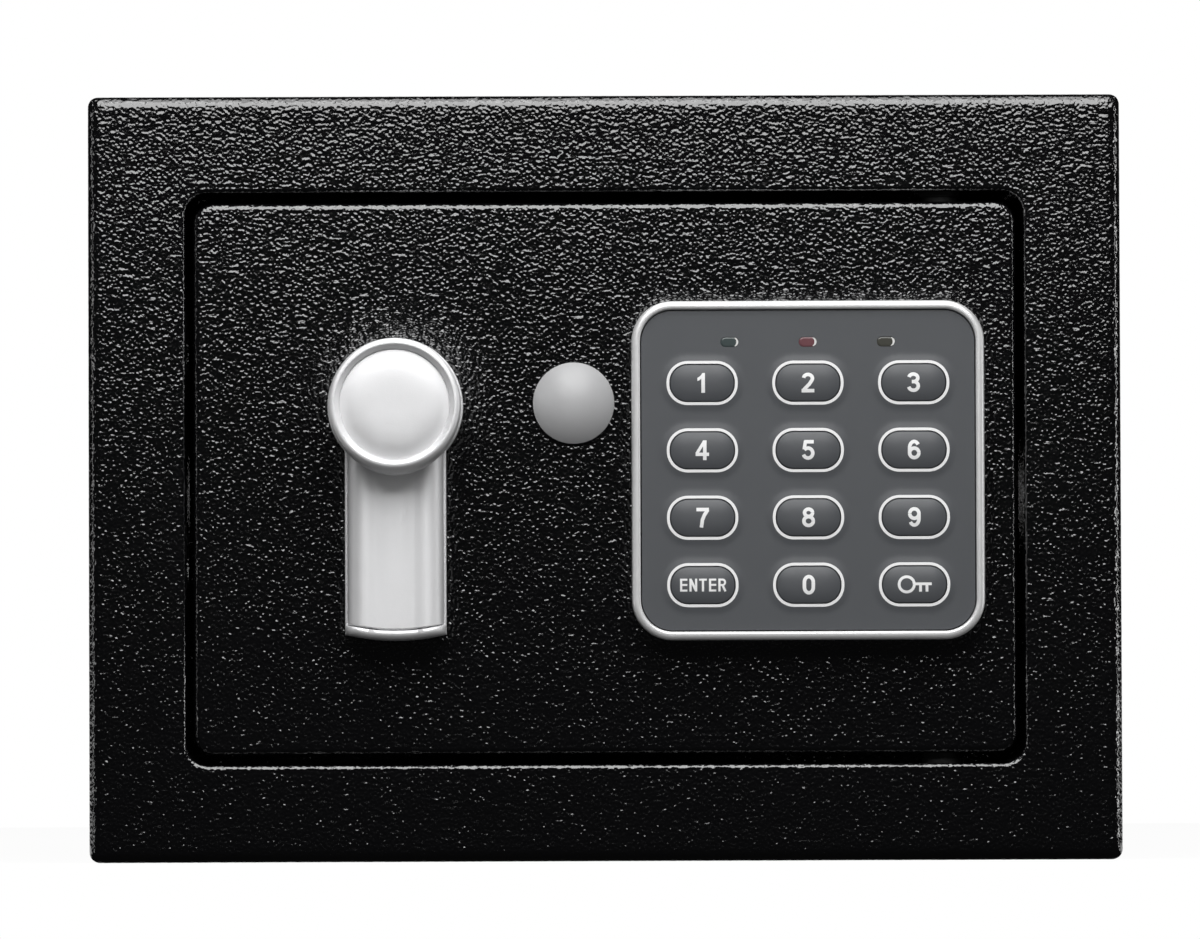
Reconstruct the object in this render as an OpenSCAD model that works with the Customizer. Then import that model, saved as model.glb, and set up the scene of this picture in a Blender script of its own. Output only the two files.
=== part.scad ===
// Small electronic safe with a keypad, a turning handle and an emergency key lock.
// The origin is the middle of the underside. The door faces -Y, +X is to the right and +Z is up.

/* [Cabinet] */
// Outside width of the cabinet
cabinet_w = 230; // [229:1:320]
// Outside height of the cabinet
cabinet_h = 170; // [169:1:260]
// Outside depth of the cabinet
cabinet_d = 170; // [120:1:320]
// Width of the front frame beside the door
frame_side_w = 22; // [18:0.5:22]
// Height of the front frame above and below the door
frame_end_w = 21.5; // [14:0.5:22]
// Thickness of the pressed front frame
frame_t = 2; // [1.5:0.1:3]
// Thickness of the folded body sheet
wrap_t = 1.5; // [1:0.1:2.5]
// Thickness of the back panel
back_t = 2; // [1:0.1:4]
// Outer radius of the bends along the edges
bend_r = 2.6; // [1:0.1:4]
// How far the rim of the front frame reaches back
rim_depth = 14; // [8:1:24]
// How far the jambs reach back from the front face
jamb_depth = 26; // [24:1:36]
// Corner radius of the door opening
opening_r = 5; // [3:0.5:8]
// Radius of the anchor holes in the base and the back
anchor_r = 5; // [3:0.5:7]
// Distance between the two anchor holes in the base
base_anchor_pitch = 120; // [80:5:150]
// Distance between the two anchor holes in the back
back_anchor_pitch = 120; // [80:5:150]

/* [Door] */
// Gap between the door and each side jamb
side_gap = 1.7; // [1.4:0.1:2.4]
// Gap between the door and the jambs above and below it
end_gap = 2.3; // [1:0.1:3]
// How far the door's face lies behind the frame's face
door_inset = 0.5; // [0:0.1:1]
// Thickness of the door plate
door_t = 3; // [2:0.1:4]
// Corner radius of the door plate
door_corner_r = 4.5; // [2.5:0.5:8]
// Rounding of the door's front edges
door_edge_r = 1.5; // [0.5:0.1:1.8]
// Depth of the inner cover behind the door plate
cover_depth = 36; // [32:1:37]
// Thickness of the inner cover's sheet
cover_t = 1; // [0.6:0.1:1.4]
// Distance from the door's edges to the inner cover, beside the bolts and at the ends
cover_margin = 4.3; // [3.5:0.1:6]
// Radius of the posts that carry the inner cover
post_r = 3; // [2.5:0.1:4]
// Distance from the inner cover's edges to the posts
post_in = 7; // [5:0.5:9]

/* [Hinge] */
// Radius of the hinge rod
rod_r = 2.5; // [1.5:0.1:3]
// Outer radius of the hinge knuckles
knuckle_r = 4; // [3.6:0.1:4.4]
// Length of each hinge knuckle
knuckle_len = 24; // [12:1:27]
// Thickness of the washers under and over the knuckles
washer_t = 1; // [0.5:0.1:1.5]
// How much further in the hinge lies than the door needs to swing past the jamb
swing_margin = 1.4; // [0.8:0.1:2.5]

/* [Handle] */
// Distance from the door's left edge to the handle's axis
handle_in = 44.9; // [44:0.1:46]
// Height of the handle's axis above the middle of the door
handle_up = 16; // [12:0.5:20]
// Radius of the handle's head at the door
head_base_r = 15; // [13.5:0.1:17]
// Radius of the handle's head at its front
head_front_r = 14.4; // [13:0.1:16]
// How far the head stands out from the door
head_rise = 20; // [16:0.5:26]
// Radius of the disc set in the head
cap_r = 12.05; // [9:0.05:12.2]
// Depth of the recess around that disc
cap_recess = 1.8; // [1:0.1:3]
// Width of the grip that hangs from the head
grip_w = 22.5; // [16:0.5:26]
// Distance from the handle's axis to the end of the grip
grip_reach = 52; // [40:1:54]
// How far the end of the grip bows out
grip_bow = 1.6; // [0.8:0.1:3]
// Room between the door and the grip
grip_off = 2; // [1.5:0.1:3]
// Distance from the door to the joint between the handle's base and its cover
grip_split = 6; // [5:0.5:8]
// Distance from the door to the front of the grip
grip_rise = 11; // [10:0.5:14]
// How much shorter the handle's cover is than its base
grip_lip = 2.3; // [1:0.1:4]
// Width of the dished panel along the grip
dish_w = 12; // [8:0.5:13]
// Depth of the dished panel
dish_depth = 0.8; // [0.3:0.1:1.5]
// Radius of the handle's spindle
spindle_r = 4; // [3:0.1:5]
// Radius on which the crank's pin turns
crank_r = 10; // [9:0.5:10.5]
// Radius of the crank's pin
pin_r = 2.5; // [1.5:0.1:3]

/* [Bolts] */
// Radius of the locking bolts
bolt_r = 7; // [5:0.1:7.4]
// Distance between the two locking bolts
bolt_pitch = 48; // [44:1:52]
// Length of a locking bolt
bolt_len = 28.3; // [27:0.1:30]
// How far the middle between the bolts lies below the handle's axis
bolt_drop = 9; // [7:0.5:11]
// Distance from a bolt's axis to the end of the slide
slide_end = 8; // [7.6:0.1:9]
// Thickness of the slide that carries the bolts
slide_t = 2.5; // [1.5:0.1:3]
// Thickness of the bracket that guides the bolts
guide_t = 2; // [1.5:0.1:3]
// Radius of the studs that guide the slide
stud_r = 2.5; // [1.5:0.1:3]
// Stroke of the solenoid's plunger
plunger_stroke = 4; // [2:0.5:5]
// Radius of the solenoid's plunger
plunger_r = 3; // [2:0.1:3.5]
// Radius of the solenoid's coil
coil_r = 8; // [6:0.1:9]
// Height of the solenoid's frame
solenoid_h = 19; // [15:1:20]

/* [Emergency lock] */
// Distance from the handle's axis to the key lock
lock_from_handle = 39.5; // [38:0.1:40.5]
// Height of the key lock above the middle of the door
lock_up = 16.6; // [13:0.1:19]
// Radius of the lock barrel
barrel_r = 7.5; // [6.5:0.1:7.8]
// Radius of the turning lock core
core_r = 5; // [3.5:0.1:5.5]
// Radius of the plug that hides the lock
plug_r = 9; // [8.8:0.1:10]
// How far the plug stands out from the door
plug_rise = 5.2; // [3.5:0.1:7]
// Length of the lock's cam
cam_len = 14; // [9:0.5:16]

/* [Keypad] */
// Width of the keypad's frame
bezel_w = 78; // [77:0.5:79]
// Height of the keypad's frame
bezel_h = 75; // [74:0.5:82]
// How far the keypad's frame stands out from the door
bezel_rise = 8; // [7.6:0.1:10]
// Width of the frame's bright band
bezel_band = 1.9; // [1.4:0.1:2]
// Corner radius of the keypad's frame
bezel_corner_r = 9; // [7:0.5:10]
// Distance from the keypad's frame to the door's right edge
keypad_in = 7.4; // [6:0.1:8.5]
// Height of the keypad's middle above the middle of the door
keypad_up = 1.4; // [-2:0.1:6]
// Distance from the door to the front of the keypad's panel
panel_level = 7; // [6.6:0.1:7.4]
// Thickness of the keypad's panel
panel_t = 1.5; // [1:0.1:2]
// Gap between the panel and the bright band
panel_gap = 0.25; // [0.1:0.05:0.5]
// Width of a key
key_w = 14.4; // [12:0.1:15]
// Height of a key
key_h = 8.4; // [8:0.1:9.4]
// Corner radius of a key
key_r = 4; // [2.5:0.1:4]
// How far a key stands out of the panel
key_rise = 1; // [0.9:0.1:1.5]
// Stroke of a key
key_stroke = 0.8; // [0.4:0.1:0.9]
// Distance between the columns of keys
key_pitch_x = 23.4; // [20:0.1:23.6]
// Distance between the rows of keys
key_pitch_z = 14.9; // [13:0.1:15]
// How far the middle of the keys lies below the middle of the panel
keys_drop = 3; // [2.5:0.1:3.2]
// Width of an indicator window
led_w = 3.9; // [2.5:0.1:5]
// Height of an indicator window
led_h = 2.1; // [1.5:0.1:2.5]
// Distance between the indicator windows
led_pitch = 17.3; // [10:0.1:20]
// Height of the indicators above the middle of the panel
led_up = 28.4; // [28:0.1:30]

/* [Power and reset] */
// Radius of a battery cell
cell_r = 7.25; // [6.8:0.05:7.4]
// Length of a battery cell
cell_len = 50.5; // [44:0.5:51]
// Number of cells side by side
cell_count = 4; // [2:1:4]
// Wall of the battery box
box_t = 1.2; // [0.8:0.1:1.5]
// Thickness of the battery lid
lid_t = 2; // [1.2:0.1:3]
// Distance from the handle's axis to the reset button
reset_from_handle = 36; // [34:0.5:38]
// Distance from the inner cover's top to the reset button
reset_in = 12; // [10:0.5:14]
// Radius of the reset button
reset_r = 2.5; // [1.5:0.1:3]
// Stroke of the reset button
reset_stroke = 1.5; // [0.5:0.1:1.8]

/* [Clearances] */
// Radial clearance of pins, shafts and screws in their holes
fit = 0.05; // [0.03:0.01:0.1]
// Clearance between the crank's pin and the slide's slot
pin_slack = 0.4; // [0.35:0.05:0.6]
// Radial clearance of the bolts in their guide
bolt_slack = 0.15; // [0.1:0.05:0.3]
// Radial clearance of the bolts in the jamb
strike_slack = 0.75; // [0.5:0.05:1]
// Gap around each key
key_gap = 0.15; // [0.1:0.05:0.3]

/* [Hidden] */
$fn = 64;
// Sides of a circle that is part of a hull
hull_sides = 32;
// Steps of a rounded edge
arc_steps = 6;
// Overlap that makes a cut pass cleanly through a face
cut = 1;

powder_coat = [0.05, 0.05, 0.055];
satin_silver = [0.78, 0.78, 0.79];
grey_plastic = [0.38, 0.38, 0.39];
bright_steel = [0.70, 0.71, 0.72];
dark_plastic = [0.14, 0.14, 0.15];

// Opening and door
opening_w = cabinet_w - 2 * frame_side_w;
opening_h = cabinet_h - 2 * frame_end_w;
door_w = opening_w - 2 * side_gap;
door_h = opening_h - 2 * end_gap;
mid_z = cabinet_h / 2;
front_y = -cabinet_d / 2;
door_y = front_y + door_inset;
door_back = door_y + door_t;
door_left = -door_w / 2;
door_right = door_w / 2;
door_low = mid_z - door_h / 2;
opening_low = mid_z - opening_h / 2;
opening_high = mid_z + opening_h / 2;
jamb_back = front_y + jamb_depth;

// Hinge: the axis lies far enough in for the door's rounded edge and the keypad's frame to turn past the jamb
knuckle_seat = door_t + knuckle_r;
edge_need = door_edge_r + (pow(knuckle_seat - door_edge_r, 2) - pow(side_gap, 2)) / (2 * side_gap);
keypad_turn = pow(knuckle_seat + bezel_rise, 2) + pow(keypad_in, 2) - pow(side_gap, 2);
keypad_need = keypad_turn / (2 * (keypad_in + side_gap));
hinge_in = max(edge_need, keypad_need) + swing_margin;
hinge_x = door_right - hinge_in;
hinge_y = door_back + knuckle_r;
rod_head_r = rod_r + 1.5;
rod_head_t = 1.5;
washer_r = knuckle_r + 0.4;
thrust_gap = 0.1;

// Inner cover and its posts
cover_hinge_gap = 3.5;
cover_left = door_left + cover_margin;
cover_right = hinge_x - knuckle_r - cover_hinge_gap;
cover_low = door_low + cover_margin;
cover_high = mid_z + door_h / 2 - cover_margin;
cover_back = door_back + cover_depth;
cover_inside = cover_back - cover_t;
cover_corner_r = 3;
post_xs = [cover_left + cover_t + post_in + post_r, cover_right - cover_t - post_in];
post_zs = [cover_low + post_in, cover_high - post_in];
screw_r = 1.5;
screw_hole_r = screw_r + fit;
cover_screw_len = 10;
screw_head_r = 3.2;
screw_head_t = 1.8;

// Handle, bolts and their slide
handle_x = door_left + handle_in;
handle_z = mid_z + handle_up;
travel = crank_r * sqrt(2);
pin_x = handle_x + crank_r * cos(45);
bolt_tip_in = 1;
bolt_tip = door_left + bolt_tip_in;
bolt_lift = guide_t + 0.4;
bolt_y = door_back + bolt_lift + bolt_r;
bolt_mid_z = handle_z - bolt_drop;
bolt_zs = [bolt_mid_z - bolt_pitch / 2, bolt_mid_z + bolt_pitch / 2];
flange_x = bolt_tip + bolt_len;
slide_back = bolt_y + bolt_r;
slide_front = slide_back - slide_t;
slide_low = bolt_zs[0] - slide_end;
slide_high = bolt_zs[1] + slide_end;
stud_from_handle = 6.4;
stud_x = handle_x + stud_from_handle;
stud_zs = [bolt_mid_z - bolt_pitch / 2 + 1, bolt_mid_z + bolt_pitch / 2 - 1];
stud_slack = 0.2;
slide_rim = 4;
slide_right = stud_x + travel + stud_r + stud_slack + slide_rim;
guide_x = cover_left + 3;
foot_len = 13;
foot_gap = 0.5;
bolt_screw_r = 2.5;
bolt_screw_head_r = 4;
bolt_screw_head_t = 2.5;
bolt_screw_len = 12;

// Spindle and crank
crank_t = 3;
crank_back = slide_front - 2;
crank_front = crank_back - crank_t;
crank_hub_r = spindle_r + 3;
clip_t = 1;
clip_neck_r = spindle_r - 1;
bush_wall = 2;
bush_r = spindle_r + bush_wall;
bush_flange_t = 1.5;
spindle_socket = 14;

// Solenoid
plunger_from_handle = 3.6;
plunger_x = handle_x - plunger_from_handle;
plunger_y = slide_front + slide_t / 2;
plunger_top = slide_low - 1;
collar_t = 1;
collar_r = plunger_r + 1.5;
collar_top = slide_low - plunger_stroke - 1.5;
solenoid_wall = 1.5;
solenoid_w = 2 * coil_r + 2;
solenoid_low = cover_low + cover_t + 1;
solenoid_high = solenoid_low + solenoid_h;
plunger_slack = 0.1;
notch_slack = 0.4;

// Key lock
lock_x = handle_x + lock_from_handle;
lock_z = mid_z + lock_up;
barrel_back = slide_back + 2.5;
barrel_flange_t = 1;
barrel_flange_r = barrel_r + 0.5;
nut_t = 3;
nut_wall = 3.5;
nut_r = barrel_r + nut_wall;
cam_t = 2;
cam_gap = 0.1;
cam_hub_r = 5.5;
cam_tip_r = 4;
cam_stub_r = 2.5;

// Keypad, measured out from the door's face
keypad_x = door_right - keypad_in - bezel_w / 2;
keypad_z = mid_z + keypad_up;
well_w = bezel_w - 2 * bezel_band;
well_h = bezel_h - 2 * bezel_band;
well_r = bezel_corner_r - bezel_band;
panel_w = well_w - 2 * panel_gap;
panel_h = well_h - 2 * panel_gap;
panel_r = well_r - panel_gap;
panel_back = panel_level - panel_t;
tray_t = 1.2;
tray_floor = 0.8;
board_t = 1.4;
board_top = tray_floor + board_t;
mat_t = 0.8;
mat_top = board_top + mat_t;
mat_w = 2 * key_pitch_x + key_w + 2;
mat_high = led_up - led_h / 2 - 1.4;
mat_low = -(keys_drop + 1.5 * key_pitch_z + key_h / 2 + 1.2);
flange_gap = 0.05;
flange_rim = 0.8;
flange_top = panel_back - flange_gap;
flange_bottom = mat_top + key_stroke + 0.2;
key_chamfer = 0.7;
boss_r = 2.4;
boss_in = 3.65;
boss_x = panel_w / 2 - boss_in;
boss_z = panel_h / 2 - boss_in;
keypad_screw_len = 4.6;
keypad_head_t = 0.7 * (knuckle_r - rod_r);
wire_hole_r = 5;
led_rise = 0.3;
led_gap = 0.1;
led_names = ["green", "red", "yellow"];

// Battery box, its lid and the reset button
cell_pitch = 2 * cell_r + 0.3;
contact_len = 2.5;
contact_t = 0.5;
contact_side = 10;
cell_clear = 0.5;
box_right = cover_right - cover_t - 1;
box_len = cell_len + 2 * contact_len + 2 * box_t;
box_left = box_right - box_len;
box_h = cell_count * cell_pitch + 2 * box_t;
box_mid_z = mid_z + 1;
box_front = cover_inside - 2 * (cell_r + cell_clear) - box_t;
cell_y = cover_inside - cell_clear - cell_r;
lid_lip = 2;
lid_gap = 0.2;
hatch_w = box_len - 2 * box_t - 2;
hatch_h = box_h - 2 * box_t - 2;
hatch_x = (box_left + box_right) / 2;
reset_x = handle_x + reset_from_handle;
reset_z = cover_high - reset_in;
reset_body = 9;
reset_depth = 8;
reset_rise = 1.6;
wire_r = 1.5;

// Points along an arc
function arc(cx, cy, r, from, to) =
    [for (i = [0:arc_steps]) let (a = from + (to - from) * i / arc_steps)
        [cx + r * cos(a), cy + r * sin(a)]];
// Outline of a slab seen from above, with its two front corners rounded
function soft_front(w, d, r) = concat(
    [[w / 2, d], [-w / 2, d]],
    arc(-w / 2 + r, r, r, 180, 270),
    arc(w / 2 - r, r, r, 270, 360));
// The same outline with its axes exchanged
function swapped(points) = [for (p = points) [p[1], p[0]]];
// Place of key number i, counted from the top left, seen from the front
function key_x(i) = keypad_x + (i % 3 - 1) * key_pitch_x;
function key_z(i) = keypad_z - keys_drop + (1.5 - floor(i / 3)) * key_pitch_z;

// Flat outline with round corners
module rounded(w, h, r) {
    square([w - 2 * r, h], center = true);
    square([w, h - 2 * r], center = true);
    for (x = [-1, 1], y = [-1, 1])
        translate([x * (w / 2 - r), y * (h / 2 - r)]) circle(r);
}
// Extrudes an upright outline from depth y0 to depth y1
module from_front(y0, y1) {
    translate([0, y1, 0]) rotate([90, 0, 0]) linear_extrude(y1 - y0) children();
}
// Round bar along Y from depth y0 to depth y1
module bar_y(x, z, r, y0, y1) {
    translate([x, y0, z]) rotate([-90, 0, 0]) cylinder(r = r, h = y1 - y0);
}
// Round bar along X
module bar_x(y, z, r, x0, x1) {
    translate([x0, y, z]) rotate([0, 90, 0]) cylinder(r = r, h = x1 - x0);
}
// Upright round bar
module bar_z(x, y, r, z0, z1) {
    translate([x, y, z0]) cylinder(r = r, h = z1 - z0);
}
// Block given by its two corners
module block(low, high) {
    translate(low) cube(high - low);
}
// Box with a soft bend along every front edge, front face at y = 0, centred on z = 0
module bent_box(w, d, h, r) {
    intersection() {
        from_front(0, d) rounded(w, h, r);
        linear_extrude(h + 2 * cut, center = true) polygon(soft_front(w, d, r));
        rotate([90, 0, 90]) linear_extrude(w + 2 * cut, center = true)
            polygon(swapped(soft_front(h, d, r)));
    }
}
// Plate with round corners and rounded front edges, front face at y = 0
module soft_plate(w, d, h, corner_r, edge_r) {
    hull()
        for (x = [-1, 1], z = [-1, 1])
            translate([x * (w / 2 - corner_r), 0, z * (h / 2 - corner_r)])
                rotate([-90, 0, 0]) rotate_extrude($fn = hull_sides)
                    polygon(concat(
                        [[0, 0]],
                        arc(corner_r - edge_r, edge_r, edge_r, 270, 360),
                        [[corner_r, d], [0, d]]));
}

module front_frame() {
    jamb_w = opening_w + 2 * frame_t;
    jamb_h = opening_h + 2 * frame_t;
    color(powder_coat) difference() {
        union() {
            difference() {
                translate([0, front_y, mid_z]) bent_box(cabinet_w, rim_depth, cabinet_h, bend_r);
                translate([0, 0, mid_z])
                    from_front(front_y + frame_t, front_y + rim_depth + cut)
                        rounded(cabinet_w - 2 * wrap_t, cabinet_h - 2 * wrap_t, bend_r - wrap_t / 2);
            }
            translate([0, 0, mid_z]) from_front(front_y + frame_t / 2, jamb_back)
                rounded(jamb_w, jamb_h, opening_r + frame_t);
        }
        translate([0, 0, mid_z]) from_front(front_y - cut, jamb_back + cut)
            rounded(opening_w, opening_h, opening_r);
        for (z = bolt_zs)
            bar_x(bolt_y, z, bolt_r + strike_slack, -jamb_w / 2 - cut, -opening_w / 2 + opening_r);
        bar_z(hinge_x, hinge_y, rod_r + fit, opening_low - frame_t - cut, opening_high + frame_t + cut);
    }
}
module body_wrap() {
    color(powder_coat) difference() {
        translate([0, 0, mid_z]) from_front(front_y + rim_depth, -front_y - back_t)
            rounded(cabinet_w, cabinet_h, bend_r);
        translate([0, 0, mid_z]) from_front(front_y, -front_y)
            rounded(cabinet_w - 2 * wrap_t, cabinet_h - 2 * wrap_t, bend_r - wrap_t / 2);
        for (x = [-1, 1])
            bar_z(x * base_anchor_pitch / 2, 0, anchor_r, -cut, wrap_t + cut);
    }
}
module back_panel() {
    color(powder_coat) difference() {
        translate([0, 0, mid_z]) from_front(-front_y - back_t, -front_y)
            rounded(cabinet_w, cabinet_h, bend_r);
        for (x = [-1, 1])
            bar_y(x * back_anchor_pitch / 2, mid_z, anchor_r, -front_y - back_t - cut, -front_y + cut);
    }
}
module hinge_rod() {
    low = opening_low - frame_t;
    color(bright_steel) {
        bar_z(hinge_x, hinge_y, rod_head_r, low - rod_head_t, low);
        bar_z(hinge_x, hinge_y, rod_r, low - rod_head_t / 2, opening_high + frame_t + 1);
    }
}
module hinge_washers() {
    color(bright_steel) for (z = [opening_low, opening_high - washer_t])
        difference() {
            bar_z(hinge_x, hinge_y, washer_r, z, z + washer_t);
            bar_z(hinge_x, hinge_y, rod_r + fit, z - cut, z + washer_t + cut);
        }
}

module door_plate() {
    color(powder_coat) difference() {
        translate([0, door_y, mid_z]) soft_plate(door_w, door_t, door_h, door_corner_r, door_edge_r);
        bar_y(handle_x, handle_z, bush_r + fit, door_y - cut, door_back + cut);
        bar_y(lock_x, lock_z, barrel_r + fit, door_y - cut, door_back + cut);
        bar_y(keypad_x, keypad_z, wire_hole_r, door_y - cut, door_back + cut);
        for (x = [-1, 1], z = [-1, 1])
            bar_y(keypad_x + x * boss_x, keypad_z + z * boss_z, screw_hole_r, door_y - cut, door_back + cut);
    }
}
module hinge_knuckles() {
    low = opening_low + washer_t + thrust_gap;
    high = opening_high - washer_t - thrust_gap;
    color(powder_coat) for (z = [low, high - knuckle_len])
        difference() {
            bar_z(hinge_x, hinge_y, knuckle_r, z, z + knuckle_len);
            bar_z(hinge_x, hinge_y, rod_r + fit, z - cut, z + knuckle_len + cut);
        }
}
module door_cover() {
    cover_w = cover_right - cover_left;
    cover_h = cover_high - cover_low;
    mid_x = (cover_left + cover_right) / 2;
    notch_r = bolt_r + 1;
    color(powder_coat) difference() {
        translate([mid_x, 0, mid_z]) from_front(door_back, cover_back)
            rounded(cover_w, cover_h, cover_corner_r);
        translate([mid_x, 0, mid_z]) from_front(door_back - cut, cover_inside)
            rounded(cover_w - 2 * cover_t, cover_h - 2 * cover_t, cover_corner_r - cover_t);
        for (z = bolt_zs) {
            bar_x(bolt_y, z, notch_r, cover_left - cut, cover_left + cover_t + cut);
            block([cover_left - cut, door_back - cut, z - notch_r],
                [cover_left + cover_t + cut, bolt_y, z + notch_r]);
        }
        block([hatch_x - hatch_w / 2, cover_inside - cut, box_mid_z - hatch_h / 2],
            [hatch_x + hatch_w / 2, cover_back + cut, box_mid_z + hatch_h / 2]);
        bar_y(reset_x, reset_z, reset_r + 2 * fit, cover_inside - cut, cover_back + cut);
        for (x = post_xs, z = post_zs)
            bar_y(x, z, screw_hole_r, cover_inside - cut, cover_back + cut);
    }
}
module cover_posts() {
    color(bright_steel) for (x = post_xs, z = post_zs)
        difference() {
            bar_y(x, z, post_r, door_back, cover_inside);
            bar_y(x, z, screw_hole_r, cover_inside - cover_screw_len - 1, cover_inside + cut);
        }
}
module cover_screws() {
    color(bright_steel) for (x = post_xs, z = post_zs) {
        bar_y(x, z, screw_r, cover_inside - cover_screw_len, cover_back + screw_head_t / 2);
        difference() {
            bar_y(x, z, screw_head_r, cover_back, cover_back + screw_head_t);
            for (turn = [0, 90])
                translate([x, cover_back + screw_head_t, z]) rotate([0, turn, 0])
                    cube([screw_head_r * 1.2, screw_head_t, screw_r / 2], center = true);
        }
    }
}
module bolt_guide() {
    margin = 4;
    low = bolt_zs[0] - bolt_r - margin;
    high = bolt_zs[1] + bolt_r + margin;
    color(bright_steel) difference() {
        union() {
            block([guide_x, door_back, low], [guide_x + guide_t, slide_back + 3, high]);
            block([guide_x, door_back, low], [guide_x + foot_len, door_back + guide_t, high]);
        }
        for (z = bolt_zs)
            bar_x(bolt_y, z, bolt_r + bolt_slack, guide_x - cut, guide_x + guide_t + cut);
    }
}
module guide_studs() {
    head_r = stud_r + 2.5;
    head_t = 2;
    head_gap = 0.3;
    color(bright_steel) for (z = stud_zs) {
        bar_y(stud_x, z, stud_r, door_back, slide_back + head_gap + head_t / 2);
        bar_y(stud_x, z, head_r, slide_back + head_gap, slide_back + head_gap + head_t);
        bar_y(stud_x, z, head_r - 1, door_back, slide_front - head_gap);
    }
}
module handle_bush() {
    color(bright_steel) difference() {
        union() {
            bar_y(handle_x, handle_z, bush_r, door_y, door_back + bush_flange_t / 2);
            bar_y(handle_x, handle_z, bush_r + bush_wall, door_back, door_back + bush_flange_t);
        }
        bar_y(handle_x, handle_z, spindle_r + fit, door_y - cut, door_back + bush_flange_t + cut);
    }
}
module lock_barrel() {
    color(bright_steel) difference() {
        union() {
            bar_y(lock_x, lock_z, barrel_flange_r, door_y - barrel_flange_t, door_y);
            bar_y(lock_x, lock_z, barrel_r, door_y - barrel_flange_t / 2, barrel_back);
        }
        bar_y(lock_x, lock_z, core_r + fit, door_y - barrel_flange_t - cut, barrel_back + cut);
    }
}
module lock_nut() {
    color(bright_steel) difference() {
        translate([lock_x, door_back, lock_z]) rotate([-90, 0, 0]) cylinder(r = nut_r, h = nut_t, $fn = 6);
        bar_y(lock_x, lock_z, barrel_r + fit, door_back - cut, door_back + nut_t + cut);
    }
}

module keypad_bezel() {
    color(satin_silver) difference() {
        translate([keypad_x, door_y - bezel_rise, keypad_z])
            soft_plate(bezel_w, bezel_rise, bezel_h, bezel_corner_r, bezel_band * 0.6);
        translate([keypad_x, 0, keypad_z]) from_front(door_y - bezel_rise - cut, door_y + cut)
            rounded(well_w, well_h, well_r);
    }
}
module keypad_tray() {
    color(dark_plastic) difference() {
        union() {
            difference() {
                translate([keypad_x, 0, keypad_z]) from_front(door_y - panel_back, door_y)
                    rounded(panel_w, panel_h, panel_r);
                translate([keypad_x, 0, keypad_z])
                    from_front(door_y - panel_back - cut, door_y - tray_floor)
                        rounded(panel_w - 2 * tray_t, panel_h - 2 * tray_t, panel_r - tray_t);
            }
            for (x = [-1, 1], z = [-1, 1])
                bar_y(keypad_x + x * boss_x, keypad_z + z * boss_z, boss_r,
                    door_y - panel_back, door_y - tray_floor / 2);
        }
        bar_y(keypad_x, keypad_z, wire_hole_r, door_y - tray_floor - cut, door_y + cut);
        for (x = [-1, 1], z = [-1, 1])
            bar_y(keypad_x + x * boss_x, keypad_z + z * boss_z, screw_hole_r,
                door_y - keypad_screw_len - 0.2, door_y + cut);
    }
}
module keypad_panel() {
    color(grey_plastic) difference() {
        translate([keypad_x, 0, keypad_z]) from_front(door_y - panel_level, door_y - panel_back)
            rounded(panel_w, panel_h, panel_r);
        for (i = [0:11])
            translate([key_x(i), 0, key_z(i)])
                from_front(door_y - panel_level - cut, door_y - panel_back + cut)
                    rounded(key_w + 2 * key_gap, key_h + 2 * key_gap, key_r + key_gap);
        for (i = [-1, 0, 1])
            translate([keypad_x + i * led_pitch, 0, keypad_z + led_up])
                from_front(door_y - panel_level - cut, door_y - panel_back + cut)
                    rounded(led_w + 2 * led_gap, led_h + 2 * led_gap, led_h / 2);
    }
}
module keypad_board() {
    board_gap = 0.3;
    color([0.08, 0.3, 0.16]) difference() {
        translate([keypad_x, 0, keypad_z]) from_front(door_y - board_top, door_y - tray_floor)
            rounded(panel_w - 2 * tray_t - 2 * board_gap, panel_h - 2 * tray_t - 2 * board_gap, panel_r - tray_t);
        for (x = [-1, 1], z = [-1, 1])
            bar_y(keypad_x + x * boss_x, keypad_z + z * boss_z, boss_r + board_gap,
                door_y - board_top - cut, door_y);
    }
}
module key_mat() {
    color([0.6, 0.6, 0.58]) translate([keypad_x, 0, keypad_z + (mat_high + mat_low) / 2])
        from_front(door_y - mat_top, door_y - board_top)
            rounded(mat_w, mat_high - mat_low, key_r);
}
module led(i, tint) {
    color(tint) translate([keypad_x + (i - 1) * led_pitch, 0, keypad_z + led_up])
        from_front(door_y - panel_level - led_rise, door_y - board_top)
            rounded(led_w, led_h, led_h / 2 - led_gap);
}
module led_green() { led(0, [0.1, 0.3, 0.15]); }
module led_red() { led(1, [0.4, 0.08, 0.08]); }
module led_yellow() { led(2, [0.4, 0.32, 0.08]); }
module keypad_screws() {
    color(bright_steel) for (x = [-1, 1], z = [-1, 1]) {
        bar_y(keypad_x + x * boss_x, keypad_z + z * boss_z, screw_r,
            door_y - keypad_screw_len, door_back + keypad_head_t / 2);
        bar_y(keypad_x + x * boss_x, keypad_z + z * boss_z, screw_head_r - 0.4,
            door_back, door_back + keypad_head_t);
    }
}
module key_cap(i) {
    color(grey_plastic) translate([key_x(i), 0, key_z(i)]) {
        from_front(door_y - flange_top, door_y - flange_bottom)
            rounded(key_w + 2 * flange_rim, key_h + 2 * flange_rim, key_r + flange_rim);
        from_front(door_y - panel_level, door_y - flange_top)
            rounded(key_w, key_h, key_r);
        hull() {
            from_front(door_y - panel_level - key_rise + key_chamfer, door_y - panel_level)
                rounded(key_w, key_h, key_r, $fn = hull_sides);
            from_front(door_y - panel_level - key_rise, door_y - panel_level)
                rounded(key_w - 2 * key_chamfer, key_h - 2 * key_chamfer, key_r - key_chamfer, $fn = hull_sides);
        }
    }
}

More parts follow.
